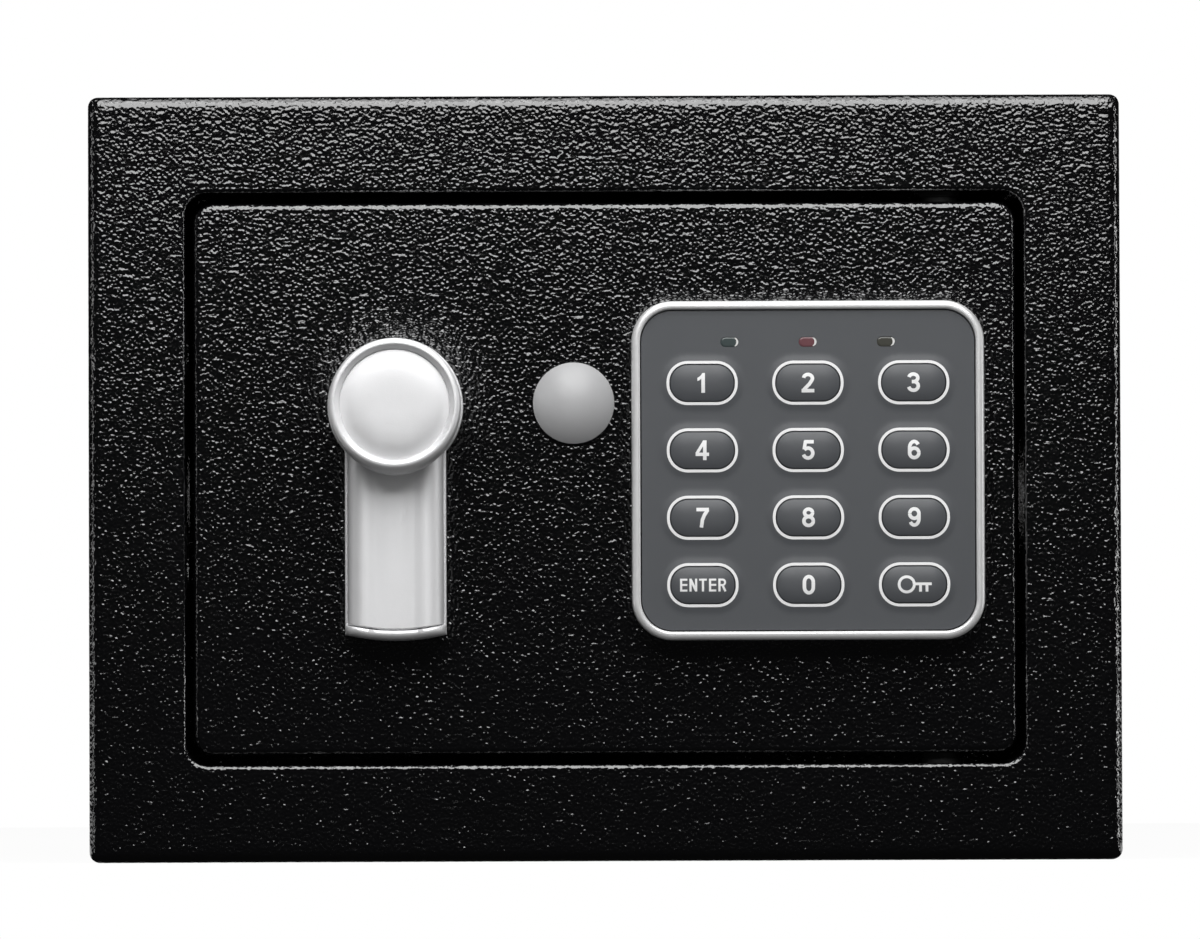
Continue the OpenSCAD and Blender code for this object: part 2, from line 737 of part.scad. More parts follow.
module battery_box() {
    color(dark_plastic) difference() {
        block([box_left, box_front, box_mid_z - box_h / 2], [box_right, cover_inside, box_mid_z + box_h / 2]);
        block([box_left + box_t, box_front + box_t, box_mid_z - box_h / 2 + box_t],
            [box_right - box_t, cover_inside + cut, box_mid_z + box_h / 2 - box_t]);
    }
}
module battery_cells() {
    nub_r = 2.75;
    nub_len = 1;
    first = box_left + box_t + contact_len;
    color([0.75, 0.55, 0.2]) for (i = [0:cell_count - 1]) {
        z = box_mid_z + (i - (cell_count - 1) / 2) * cell_pitch;
        flip = i % 2;
        bar_x(cell_y, z, cell_r, first + nub_len * flip, first + cell_len - nub_len * (1 - flip));
        bar_x(cell_y, z, nub_r, first, first + cell_len);
    }
}
module battery_contacts() {
    inner_left = box_left + box_t;
    inner_right = box_right - box_t;
    coil = 2.9;
    color(bright_steel) for (i = [0:cell_count - 1]) {
        z = box_mid_z + (i - (cell_count - 1) / 2) * cell_pitch;
        for (x = [inner_left, inner_right - contact_t])
            block([x, cell_y - contact_side / 2, z - contact_side / 2],
                [x + contact_t, cell_y + contact_side / 2, z + contact_side / 2]);
        bar_x(cell_y, z, coil, inner_left + contact_t, inner_left + contact_len - fit);
        bar_x(cell_y, z, coil, inner_right - contact_len + fit, inner_right - contact_t);
    }
}
module wire_loom() {
    run_y = plunger_y;
    run_z = (solenoid_low + solenoid_high) / 2;
    color([0.5, 0.1, 0.1]) {
        bar_y(keypad_x, keypad_z, wire_r, door_y - tray_floor, box_front);
        bar_z(keypad_x, run_y, wire_r, run_z, keypad_z);
        translate([keypad_x, run_y, run_z]) sphere(wire_r);
        bar_x(run_y, run_z, wire_r, plunger_x + coil_r, keypad_x);
    }
}
module solenoid_frame() {
    deep = plunger_y + coil_r + 1;
    color(bright_steel) difference() {
        block([plunger_x - solenoid_w / 2, door_back, solenoid_low],
            [plunger_x + solenoid_w / 2, deep, solenoid_high]);
        block([plunger_x - solenoid_w / 2 - cut, door_back + solenoid_wall, solenoid_low + solenoid_wall],
            [plunger_x + solenoid_w / 2 + cut, deep + cut, solenoid_high - solenoid_wall]);
        bar_z(plunger_x, plunger_y, plunger_r + plunger_slack, solenoid_low + solenoid_h / 2, solenoid_high + cut);
    }
}
module solenoid_coil() {
    color([0.55, 0.28, 0.12]) difference() {
        bar_z(plunger_x, plunger_y, coil_r, solenoid_low + solenoid_wall, solenoid_high - solenoid_wall);
        bar_z(plunger_x, plunger_y, plunger_r + plunger_slack, solenoid_low + solenoid_wall - cut, solenoid_high);
    }
}
module solenoid_spring() {
    color(bright_steel) difference() {
        bar_z(plunger_x, plunger_y, plunger_r + 1, solenoid_high, collar_top - collar_t);
        bar_z(plunger_x, plunger_y, plunger_r + plunger_slack, solenoid_high - cut, collar_top);
    }
}
module reset_switch() {
    color(dark_plastic) difference() {
        translate([reset_x, 0, reset_z]) from_front(cover_inside - reset_depth, cover_inside)
            rounded(reset_body, reset_body, 1);
        bar_y(reset_x, reset_z, reset_r + fit, cover_inside - reset_depth + 1, cover_inside + cut);
    }
}

module slide_plate() {
    slot_half = pin_r + pin_slack;
    rise = crank_r * cos(45);
    stud_half = stud_r + stud_slack;
    notch_half = plunger_r + notch_slack;
    notch_top = plunger_top + plunger_stroke + 1;
    color(bright_steel) difference() {
        union() {
            block([flange_x, slide_front, slide_low], [slide_right, slide_back, slide_high]);
            block([flange_x, door_back + guide_t + foot_gap, slide_low],
                [flange_x + slide_t, slide_back, slide_high]);
        }
        for (z = bolt_zs)
            bar_x(bolt_y, z, bolt_screw_r + fit, flange_x - cut, flange_x + slide_t + cut);
        bar_y(pin_x, handle_z - rise + cut / 2, slot_half, slide_front - cut, slide_back + cut);
        bar_y(pin_x, handle_z - crank_r - cut / 2, slot_half, slide_front - cut, slide_back + cut);
        block([pin_x - slot_half, slide_front - cut, handle_z - crank_r - cut / 2],
            [pin_x + slot_half, slide_back + cut, handle_z - rise + cut / 2]);
        for (z = stud_zs) {
            for (x = [stud_x, stud_x + travel])
                bar_y(x, z, stud_half, slide_front - cut, slide_back + cut);
            block([stud_x, slide_front - cut, z - stud_half],
                [stud_x + travel, slide_back + cut, z + stud_half]);
        }
        for (x = [plunger_x, plunger_x + travel])
            block([x - notch_half, slide_front - cut, slide_low - cut],
                [x + notch_half, slide_back + cut, notch_top]);
    }
}
module locking_bolts() {
    color(bright_steel) for (z = bolt_zs)
        difference() {
            bar_x(bolt_y, z, bolt_r, bolt_tip, flange_x);
            bar_x(bolt_y, z, bolt_screw_r + fit, flange_x - bolt_screw_len - 1, flange_x + cut);
        }
}
module bolt_screws() {
    head_x = flange_x + slide_t;
    color(bright_steel) for (z = bolt_zs) {
        bar_x(bolt_y, z, bolt_screw_r, flange_x - bolt_screw_len, head_x + bolt_screw_head_t / 2);
        bar_x(bolt_y, z, bolt_screw_head_r, head_x, head_x + bolt_screw_head_t);
    }
}

// Solid of the grip with a bowed end, from depth y0 to depth y1, shortened by lip
module grip_outline(half_w, lip) {
    end_r = (pow(half_w, 2) + pow(grip_bow, 2)) / (2 * grip_bow);
    reach = grip_reach - lip;
    intersection() {
        translate([-half_w, -reach]) square([2 * half_w, reach]);
        translate([0, -reach + end_r]) circle(end_r, $fn = 360);
    }
}
module handle_base() {
    head_r = head_base_r;
    off = 0.4;
    color(satin_silver) translate([handle_x, 0, handle_z]) difference() {
        union() {
            translate([0, door_y - off, 0]) rotate([90, 0, 0]) cylinder(r = head_r, h = grip_split - off);
            from_front(door_y - grip_split, door_y - grip_off) grip_outline(grip_w / 2, 0);
        }
        bar_y(0, 0, spindle_r + fit, door_y - grip_split - cut, door_y);
    }
}
module handle_cover() {
    half = grip_w / 2 - 0.6;
    shoulder_r = grip_rise - grip_split - 1;
    color(satin_silver) translate([handle_x, 0, handle_z]) difference() {
        union() {
            translate([0, door_y - grip_split, 0]) rotate([90, 0, 0])
                cylinder(r1 = head_base_r - 0.3, r2 = head_front_r, h = head_rise - grip_split);
            intersection() {
                from_front(door_y - grip_rise, door_y - grip_split) grip_outline(half, grip_lip);
                translate([0, 0, -grip_reach]) linear_extrude(grip_reach) polygon(concat(
                    [[half, door_y - grip_split], [-half, door_y - grip_split]],
                    arc(-half + shoulder_r, door_y - grip_rise + shoulder_r, shoulder_r, 180, 270),
                    [[-dish_w / 2, door_y - grip_rise], [1 - dish_w / 2, door_y - grip_rise + dish_depth],
                        [dish_w / 2 - 1, door_y - grip_rise + dish_depth], [dish_w / 2, door_y - grip_rise]],
                    arc(half - shoulder_r, door_y - grip_rise + shoulder_r, shoulder_r, 270, 360)));
            }
        }
        translate([0, door_y - head_rise + cap_recess, 0]) rotate([90, 0, 0])
            cylinder(r1 = cap_r + 0.1, r2 = cap_r + 1, h = cap_recess);
        bar_y(0, 0, spindle_r + fit, door_y - spindle_socket - 0.2, door_y);
    }
}
module handle_cap() {
    dome = 0.5;
    rim = 0.5;
    dome_r = (pow(cap_r, 2) + pow(dome, 2)) / (2 * dome);
    span = asin(cap_r / dome_r);
    color(satin_silver) translate([handle_x, door_y - head_rise + cap_recess, handle_z]) rotate([90, 0, 0])
        rotate_extrude() polygon(concat(
            [[0, 0], [cap_r, 0]],
            [for (i = [0:arc_steps]) let (a = span * (1 - i / arc_steps))
                [dome_r * sin(a), rim + dome_r * cos(a) - dome_r + dome]]));
}
module handle_spindle() {
    color(bright_steel) {
        bar_y(handle_x, handle_z, spindle_r, door_y - spindle_socket, crank_back);
        bar_y(handle_x, handle_z, clip_neck_r, crank_back - clip_t, crank_back + clip_t + 0.2);
    }
}
module spindle_crank() {
    eye_r = pin_r + 2;
    arm_half = eye_r - 0.7;
    web_set = 0.15 * crank_t;
    pin_z = handle_z - crank_r * cos(45);
    color(bright_steel) difference() {
        union() {
            bar_y(handle_x, handle_z, crank_hub_r, door_back + bush_flange_t + 0.3, crank_back);
            translate([handle_x, crank_front, handle_z]) rotate([0, 45, 0])
                block([0, web_set, -arm_half], [crank_r, crank_t - web_set, arm_half]);
            bar_y(pin_x, pin_z, eye_r, crank_front, crank_back);
            bar_y(pin_x, pin_z, pin_r, crank_front + crank_t / 2, slide_back + 1);
        }
        bar_y(handle_x, handle_z, spindle_r + fit, door_back, crank_back + cut);
    }
}
module spindle_clip() {
    color(bright_steel) difference() {
        bar_y(handle_x, handle_z, spindle_r + 1.5, crank_back, crank_back + clip_t);
        bar_y(handle_x, handle_z, clip_neck_r + fit, crank_back - cut, crank_back + clip_t + cut);
    }
}
module solenoid_plunger() {
    color(bright_steel) {
        bar_z(plunger_x, plunger_y, plunger_r, solenoid_low + solenoid_wall + 1, plunger_top);
        bar_z(plunger_x, plunger_y, collar_r, collar_top - collar_t, collar_top);
    }
}
module lock_core() {
    slot_w = 1.6;
    color(bright_steel) difference() {
        union() {
            bar_y(lock_x, lock_z, core_r, door_y - barrel_flange_t, barrel_back);
            bar_y(lock_x, lock_z, cam_stub_r, barrel_back - cut, barrel_back + cam_gap + cam_t + 1);
        }
        block([lock_x - slot_w / 2, door_y - barrel_flange_t - cut, lock_z - core_r * 0.7],
            [lock_x + slot_w / 2, barrel_back - 2, lock_z + core_r * 0.7]);
    }
}
module lock_cam() {
    front = barrel_back + cam_gap;
    color(bright_steel) difference() {
        union() {
            bar_y(lock_x, lock_z, cam_hub_r, front, front + cam_t);
            block([lock_x - cam_len + cam_tip_r, front, lock_z - cam_tip_r],
                [lock_x, front + cam_t, lock_z + cam_tip_r]);
            bar_y(lock_x - cam_len + cam_tip_r, lock_z, cam_tip_r, front, front + cam_t);
        }
        bar_y(lock_x, lock_z, cam_stub_r + fit, front - cut, front + cam_t + cut);
    }
}
module cover_plug() {
    seat = 0.3;
    skirt = 1.2;
    dome = plug_rise - skirt;
    dome_r = (pow(plug_r, 2) + pow(dome, 2)) / (2 * dome);
    span = asin(min(1, plug_r / dome_r));
    socket_r = barrel_flange_r + 0.1;
    socket_deep = barrel_flange_t + 0.3;
    color(grey_plastic) translate([lock_x, door_y, lock_z]) rotate([90, 0, 0])
        rotate_extrude() polygon(concat(
            [[0, socket_deep], [socket_r, socket_deep], [socket_r, seat], [plug_r, seat]],
            [for (i = [0:2 * arc_steps]) let (a = span * (1 - i / (2 * arc_steps)))
                [dome_r * sin(a), plug_rise - dome_r + dome_r * cos(a)]]));
}
module battery_lid() {
    wide = hatch_w + 2 * lid_lip;
    high = hatch_h + 2 * lid_lip;
    grip_h = 1;
    grip_len = 8;
    color(dark_plastic) {
        translate([hatch_x, 0, box_mid_z]) from_front(cover_back, cover_back + lid_t)
            rounded(wide, high, lid_lip);
        block([hatch_x - hatch_w / 2 + lid_gap, cover_inside, box_mid_z - hatch_h / 2 + lid_gap],
            [hatch_x + hatch_w / 2 - lid_gap, cover_back + lid_t / 2, box_mid_z + hatch_h / 2 - lid_gap]);
        for (i = [-2:2])
            translate([hatch_x + i * 2 * grip_h, cover_back + lid_t, box_mid_z + high / 2 - grip_len])
                cube([grip_h, 2 * grip_h, grip_len], center = true);
    }
}
module reset_button() {
    color([0.6, 0.1, 0.1])
        bar_y(reset_x, reset_z, reset_r, cover_inside - reset_depth + 1 + reset_stroke + 0.2, cover_back + reset_rise);
}

front_frame();
body_wrap();
back_panel();
hinge_rod();
hinge_washers();
door_plate();
hinge_knuckles();
door_cover();
cover_posts();
cover_screws();
bolt_guide();
guide_studs();
handle_bush();
lock_barrel();
lock_nut();
keypad_bezel();
keypad_tray();
keypad_panel();
keypad_board();
key_mat();
led_green();
led_red();
led_yellow();
keypad_screws();
battery_box();
battery_cells();
battery_contacts();
wire_loom();
solenoid_frame();
solenoid_coil();
solenoid_spring();
reset_switch();
slide_plate();
locking_bolts();
bolt_screws();
handle_base();
handle_cover();
handle_cap();
handle_spindle();
spindle_crank();
spindle_clip();
solenoid_plunger();
lock_core();
lock_cam();
cover_plug();
battery_lid();
reset_button();
key_cap(0);  // key_1
key_cap(1);  // key_2
key_cap(2);  // key_3
key_cap(3);  // key_4
key_cap(4);  // key_5
key_cap(5);  // key_6
key_cap(6);  // key_7
key_cap(7);  // key_8
key_cap(8);  // key_9
key_cap(9);  // key_enter
key_cap(10);  // key_0
key_cap(11);  // key_unlock
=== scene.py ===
import math
import bmesh
import bpy
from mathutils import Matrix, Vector, geometry


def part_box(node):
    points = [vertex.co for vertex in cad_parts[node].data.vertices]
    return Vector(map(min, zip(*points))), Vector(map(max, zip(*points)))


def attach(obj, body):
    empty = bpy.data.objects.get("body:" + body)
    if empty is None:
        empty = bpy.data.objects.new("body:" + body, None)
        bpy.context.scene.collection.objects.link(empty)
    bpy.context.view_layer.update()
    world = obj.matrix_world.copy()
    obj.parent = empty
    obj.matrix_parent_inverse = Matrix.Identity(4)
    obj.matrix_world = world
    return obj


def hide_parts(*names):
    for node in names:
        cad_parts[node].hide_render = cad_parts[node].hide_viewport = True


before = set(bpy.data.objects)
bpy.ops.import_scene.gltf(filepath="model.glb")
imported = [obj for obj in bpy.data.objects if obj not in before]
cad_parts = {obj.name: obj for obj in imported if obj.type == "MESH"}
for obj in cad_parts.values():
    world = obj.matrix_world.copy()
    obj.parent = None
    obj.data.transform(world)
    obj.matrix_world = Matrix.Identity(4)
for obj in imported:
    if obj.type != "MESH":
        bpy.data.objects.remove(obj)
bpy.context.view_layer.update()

MM = 0.001


# Studio. The safe stands at the front edge of a white table, before white paper and in an otherwise dark
# room. A wide softbox hangs close above its front and a second one overhead. A narrow strip light stands
# at each side, the right one brighter, and a large fill light stands before the camera.
def linear(code):
    """An sRGB hex colour such as "8c8c8c" as linear red, green, blue and alpha."""
    parts = [int(code[i:i + 2], 16) / 255 for i in (0, 2, 4)]
    return [c / 12.92 if c <= 0.04045 else ((c + 0.055) / 1.055) ** 2.4 for c in parts] + [1.0]


def add(tree, kind, sockets={}, **settings):
    """Adds a node with its settings. A socket's value is a number, a colour or the output that feeds it."""
    made = tree.nodes.new(kind)
    for name, value in settings.items():
        setattr(made, name, value)
    for name, value in sockets.items():
        if isinstance(value, bpy.types.NodeSocket):
            tree.links.new(value, made.inputs[name])
        else:
            made.inputs[name].default_value = value
    return made


def seen_directly(tree):
    """Outputs that are 1 for rays from the camera, and for rays off gloss or through clear pieces."""
    ray = add(tree, "ShaderNodeLightPath").outputs
    gloss = add(tree, "ShaderNodeMath", {0: ray["Is Glossy Ray"], 1: ray["Is Transmission Ray"]},
                operation="MAXIMUM")
    return ray["Is Camera Ray"], gloss.outputs[0]


scene = bpy.context.scene
scene.view_settings.view_transform = "Standard"
scene.world = bpy.data.worlds.new("white_paper_and_dark_room")
scene.world.use_nodes = True
tree = scene.world.node_tree
tree.nodes.clear()
# In gloss, the paper fills the directions straight back and fades to the sides into the room's faint
# level. The camera itself sees white paper everywhere.
PAPER_EDGE, ROOM_LEVEL = 0.88, 0.012
camera_ray, other_ray = seen_directly(tree)
where = add(tree, "ShaderNodeSeparateXYZ", {0: add(tree, "ShaderNodeTexCoord").outputs["Generated"]})
paper = add(tree, "ShaderNodeMapRange", {
    "Value": where.outputs["Y"], "From Min": PAPER_EDGE, "From Max": 1.0,
    "To Min": ROOM_LEVEL, "To Max": 1.0}, interpolation_type="SMOOTHSTEP")
shine = add(tree, "ShaderNodeMath", {0: paper.outputs[0], 1: other_ray}, operation="MULTIPLY")
faint = add(tree, "ShaderNodeMath", {0: shine.outputs[0], 1: ROOM_LEVEL}, operation="MAXIMUM")
level = add(tree, "ShaderNodeMath", {0: faint.outputs[0], 1: camera_ray}, operation="MAXIMUM")
light = add(tree, "ShaderNodeBackground", {"Color": linear("ffffff"), "Strength": level.outputs[0]})
add(tree, "ShaderNodeOutputWorld", {"Surface": light.outputs[0]})

# Seen directly, the table is nearly all plain white, and only a small share of it takes the shadow.
TABLE_FRONT, TABLE_HALF, PLAIN_WHITE = -0.078, 0.6, 0.96
corners = [(-TABLE_HALF, TABLE_FRONT, 0), (TABLE_HALF, TABLE_FRONT, 0),
           (TABLE_HALF, TABLE_HALF, 0), (-TABLE_HALF, TABLE_HALF, 0)]
table = bpy.data.meshes.new("table_top")
table.from_pydata(corners, [], [(0, 1, 2, 3)])
pale = bpy.data.materials.new("matt_white_table")
pale.use_nodes = True
tree = pale.node_tree
tree.nodes.clear()
camera_ray, other_ray = seen_directly(tree)
either = add(tree, "ShaderNodeMath", {0: camera_ray, 1: other_ray}, operation="MAXIMUM")
seen = add(tree, "ShaderNodeMath", {0: either.outputs[0], 1: PLAIN_WHITE}, operation="MULTIPLY")
matt = add(tree, "ShaderNodeBsdfDiffuse", {"Color": linear("f4f4f4")})
glow = add(tree, "ShaderNodeEmission", {"Color": linear("ffffff"), "Strength": 1.0})
both = add(tree, "ShaderNodeMixShader", {0: seen.outputs[0], 1: matt.outputs[0], 2: glow.outputs[0]})
add(tree, "ShaderNodeOutputMaterial", {"Surface": both.outputs[0]})
table.materials.append(pale)
floor = bpy.data.objects.new("floor", table)
scene.collection.objects.link(floor)

FRONT_MIDDLE = (0.0, -0.085, 0.085)
for name, place, aim, size, radiance in (
        ("softbox_above", (0.0, -0.52, 0.52), FRONT_MIDDLE, (0.64, 0.5), 4.6),
        ("softbox_overhead", (0.0, -0.205, 0.7), (0.0, -0.205, 0.0), (0.6, 0.39), 2.6),
        ("strip_left", (-0.9, -0.27, 0.1), FRONT_MIDDLE, (0.16, 0.5), 1.8),
        ("strip_right", (0.9, -0.27, 0.1), FRONT_MIDDLE, (0.12, 0.5), 6.0),
        ("fill_at_camera", (0.0, -1.6, 0.15), FRONT_MIDDLE, (1.2, 1.2), 2.1)):
    lamp = bpy.data.lights.new(name, "AREA")
    lamp.shape = "RECTANGLE"
    lamp.size, lamp.size_y = size
    lamp.energy = radiance * math.pi * size[0] * size[1]
    stand = bpy.data.objects.new(name, lamp)
    stand.location = place
    stand.rotation_euler = (Vector(aim) - Vector(place)).to_track_quat("-Z", "Y").to_euler()
    stand.visible_camera = False
    stand.visible_glossy = name != "fill_at_camera"
    scene.collection.objects.link(stand)

# Camera. A long lens a little left of the middle and below it, tilted slightly up.
lens = bpy.data.cameras.new("long_lens")
lens.sensor_width = 36
lens.lens = 286.2
lens.clip_start, lens.clip_end = 0.1, 20
camera = bpy.data.objects.new("camera", lens)
camera.location = (-0.0155, -2.2, 0.0327)
pitch, yaw, roll = math.radians(1.467), math.radians(0.390), math.radians(-0.213)
camera.rotation_euler = (math.pi / 2 + pitch, 0, -yaw)
camera.rotation_euler.rotate_axis("Z", roll)
scene.collection.objects.link(camera)
scene.camera = camera


# Cabinet. A pressed front frame, a folded body sheet and a back panel, welded together from mild
# steel sheet and powder coated black all over. The coat is a hammer texture of rounded pebbles.
def finish(name):
    """A new material, with its node tree, its surface shader and its object coordinates."""
    made = bpy.data.materials.new(name)
    made.use_nodes = True
    tree = made.node_tree
    tree.nodes.clear()
    shader = add(tree, "ShaderNodeBsdfPrincipled")
    add(tree, "ShaderNodeOutputMaterial", {"Surface": shader.outputs[0]})
    place = add(tree, "ShaderNodeTexCoord").outputs["Object"]
    return made, tree, shader, place


def set_sockets(shader, **values):
    """Sets a shader's values by the names of their sockets, written with _ for a space."""
    for name, value in values.items():
        shader.inputs[name.replace("_", " ")].default_value = value


# Polyester powder coat in black hammer texture, sprayed and baked. It gives a deep gloss black whose
# rounded pebbles, about 1.5 mm apart, each catch a small wavy glint from the light above.
PEBBLE, WAVE, DRIFT, DRIFT_REACH, COAT_RELIEF = 1.46 * MM, 0.74 * MM, 3.2 * MM, 1.6 * MM, 0.236 * MM
powder_coat, tree, shader, place = finish("black_hammer_powder_coat")
set_sockets(shader, Base_Color=linear("050506"), Roughness=0.14, IOR=1.58, Specular_IOR_Level=1.0)
swell = add(tree, "ShaderNodeTexNoise", {"Vector": place, "Scale": 1 / WAVE, "Detail": 0.5, "Roughness": 0.5})
drift = add(tree, "ShaderNodeTexNoise", {"Vector": place, "Scale": 1 / DRIFT, "Detail": 1.0})
shift = add(tree, "ShaderNodeVectorMath", {0: drift.outputs["Color"], "Scale": DRIFT_REACH},
            operation="SCALE")
warped = add(tree, "ShaderNodeVectorMath", {0: place, 1: shift.outputs[0]}, operation="ADD")
pebble = add(tree, "ShaderNodeTexVoronoi", {
    "Vector": warped.outputs[0], "Scale": 1 / PEBBLE, "Smoothness": 0.6}, feature="SMOOTH_F1")
height = add(tree, "ShaderNodeMath", {0: pebble.outputs["Distance"], 1: -0.35, 2: swell.outputs[0]},
             operation="MULTIPLY_ADD")
bump = add(tree, "ShaderNodeBump", {"Height": height.outputs[0], "Strength": 1.0, "Distance": COAT_RELIEF})
tree.links.new(bump.outputs[0], shader.inputs["Normal"])

# The coat rounds the sheet's cut edges by SOFT_EDGE. Edges that bend by more than SHARP_FROM are rounded.
SOFT_EDGE, SHARP_FROM = 0.3 * MM, math.radians(40.0)


def plain_copy(node, name, coat, soften=0.0, steps=2, pick=None, clamp=True, cuts=()):
    """A copy of a CAD node's mesh, joined up and smooth, with its sharp edges rounded by soften (metres).

    pick says which points such an edge may join. cuts are planes, a point and a normal each, that divide
    long faces so that they shade evenly.
    """
    work = bmesh.new()
    work.from_mesh(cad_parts[node].data)
    bmesh.ops.remove_doubles(work, verts=work.verts, dist=1e-7)
    bmesh.ops.dissolve_limit(work, angle_limit=math.radians(0.5), verts=work.verts, edges=work.edges)
    for point, normal in cuts:
        bmesh.ops.bisect_plane(work, geom=[*work.verts, *work.edges, *work.faces], dist=1e-7,
                               plane_co=point, plane_no=normal)
    if soften:
        sharp = [e for e in work.edges if len(e.link_faces) == 2 and e.calc_face_angle() > SHARP_FROM
                 and (pick is None or all(pick(v.co) for v in e.verts))]
        bmesh.ops.bevel(work, geom=sharp, offset=soften, segments=steps, profile=0.5, affect="EDGES",
                        clamp_overlap=clamp)
    return shown(name, work, coat)


def shown(name, work, coat, angle=35.0):
    """Turns a bmesh into a linked object with smooth faces, sharp where they meet at more than angle."""
    made = bpy.data.meshes.new(name)
    bmesh.ops.triangulate(work, faces=[f for f in work.faces if len(f.verts) > 4])
    work.to_mesh(made)
    work.free()
    made.shade_smooth()
    made.set_sharp_from_angle(angle=math.radians(angle))
    made.materials.append(coat)
    piece = bpy.data.objects.new(name, made)
    scene.collection.objects.link(piece)
    even = piece.modifiers.new("even", "WEIGHTED_NORMAL")
    even.weight, even.keep_sharp = 90, True
    piece.data = bpy.data.meshes.new_from_object(piece.evaluated_get(bpy.context.evaluated_depsgraph_get()))
    piece.modifiers.remove(even)
    bpy.data.meshes.remove(made)
    piece.data.name = name
    return piece


def stands_for(piece, node, body):
    """Puts a piece in the place of a CAD node, which it hides, and on its body."""
    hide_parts(node)
    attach(piece, body)


# The frame's edges within NEAR of its front are rounded by LIP. Planes at CORNER from its outside part the
# long round edges from the mitres. Its sides, to a depth of SIDE, lie LAP further in than the body sheet.
LIP, CORNER, LAP, SIDE, NEAR = 1.0 * MM, 4 * MM, 0.4 * MM, 3 * MM, 0.1 * MM
low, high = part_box("front_frame")
middle = (low + high) / 2
cuts = [((x, 0, 0), (1, 0, 0)) for x in (low.x + CORNER, high.x - CORNER)]
cuts += [((0, 0, z), (0, 0, 1)) for z in (low.z + CORNER, high.z - CORNER)]
lip = plain_copy("front_frame", "pressed_front_frame", powder_coat, LIP, 5,
                 pick=lambda v: v.y < low.y + NEAR, clamp=False, cuts=cuts)
for v in lip.data.vertices:
    if abs(v.co.x - middle.x) > (high.x - low.x) / 2 - SIDE:
        v.co.x -= math.copysign(LAP, v.co.x - middle.x)
stands_for(lip, "front_frame", "cabinet")
wrap = plain_copy("body_wrap", "folded_body_sheet", powder_coat, SOFT_EDGE, pick=lambda v: v.y > 0)
stands_for(wrap, "body_wrap", "cabinet")
back = plain_copy("back_panel", "welded_back_panel", powder_coat, SOFT_EDGE)
stands_for(back, "back_panel", "cabinet")


# Door. A 3 mm steel plate with rounded front edges, in the same powder coat. The inner cover, a
# folded sheet box, is screwed to four posts on its back and holds the works.
door = plain_copy("door_plate", "steel_door_plate", powder_coat)
stands_for(door, "door_plate", "door")
cover = plain_copy("door_cover", "folded_inner_cover", powder_coat, SOFT_EDGE)
stands_for(cover, "door_cover", "door")


# Lock works and fasteners. Pressed and turned mild steel parts on the back of the door, such as the bolts
# on their slide, the spindle and its crank, the key lock, the guides and the screws, all plated with zinc.
def grained(name, colour, roughness, grain_mm, depth_mm, metallic=0.0, spread=0.1):
    """A finish with fine grain: a shallow bump, and a roughness that wanders by spread."""
    made, tree, shader, place = finish(name)
    set_sockets(shader, Base_Color=linear(colour), Metallic=metallic)
    cloud = add(tree, "ShaderNodeTexNoise", {
        "Vector": place, "Scale": 1 / (9 * grain_mm * MM), "Detail": 3.0})
    fine = add(tree, "ShaderNodeTexNoise", {"Vector": place, "Scale": 1 / (grain_mm * MM), "Detail": 2.0})
    rough = add(tree, "ShaderNodeMapRange", {
        "Value": cloud.outputs[0], "From Min": 0.3, "From Max": 0.7,
        "To Min": roughness - spread / 2, "To Max": roughness + spread / 2})
    bump = add(tree, "ShaderNodeBump", {
        "Height": fine.outputs[0], "Strength": 1.0, "Distance": depth_mm * MM})
    tree.links.new(rough.outputs[0], shader.inputs["Roughness"])
    tree.links.new(bump.outputs[0], shader.inputs["Normal"])
    return made


def dress(names, coat):
    """Puts a finish on CAD nodes that stay as they are."""
    for name in names:
        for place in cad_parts[name].material_slots:
            place.material = coat


# Bright zinc plate on mild steel: a slightly cloudy, cool grey shine with fine tumbling marks.
zinc_plate = grained("bright_zinc_plated_steel", "b9bcbf", 0.32, 0.35, 0.01, metallic=1.0)
dress(("cover_posts", "cover_screws", "guide_studs", "handle_bush",
       "lock_barrel", "lock_nut", "keypad_screws", "battery_contacts", "solenoid_frame", "solenoid_spring",
       "locking_bolts", "bolt_screws", "slide_plate", "bolt_guide", "handle_spindle", "spindle_crank",
       "spindle_clip", "solenoid_plunger", "lock_core", "lock_cam"), zinc_plate)


# Hinge. Two knuckles welded to the back of the door turn on one blackened steel rod, between washers.
# Black oxide, lightly oiled, gives a dark satin that hardly shows in the gap round the door.
black_oxide = grained("black_oxide_on_steel", "040404", 0.8, 0.3, 0.008)
dress(("hinge_rod", "hinge_washers", "hinge_knuckles"), black_oxide)


# Handle. A die-cast zinc grip in two parts, a base and a cover, with a round head whose recess holds
# a separate disc. All of it is sprayed with silver lacquer, which gives a pale, even satin sheen.
satin_silver = grained("satin_silver_lacquer_on_zinc", "f4f4f5", 0.58, 0.3, 0.012, metallic=0.85, spread=0.05)
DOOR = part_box("door_plate")[0].y
low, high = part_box("handle_cap")
AXIS = Vector(((low.x + high.x) / 2, 0, (low.z + high.z) / 2))


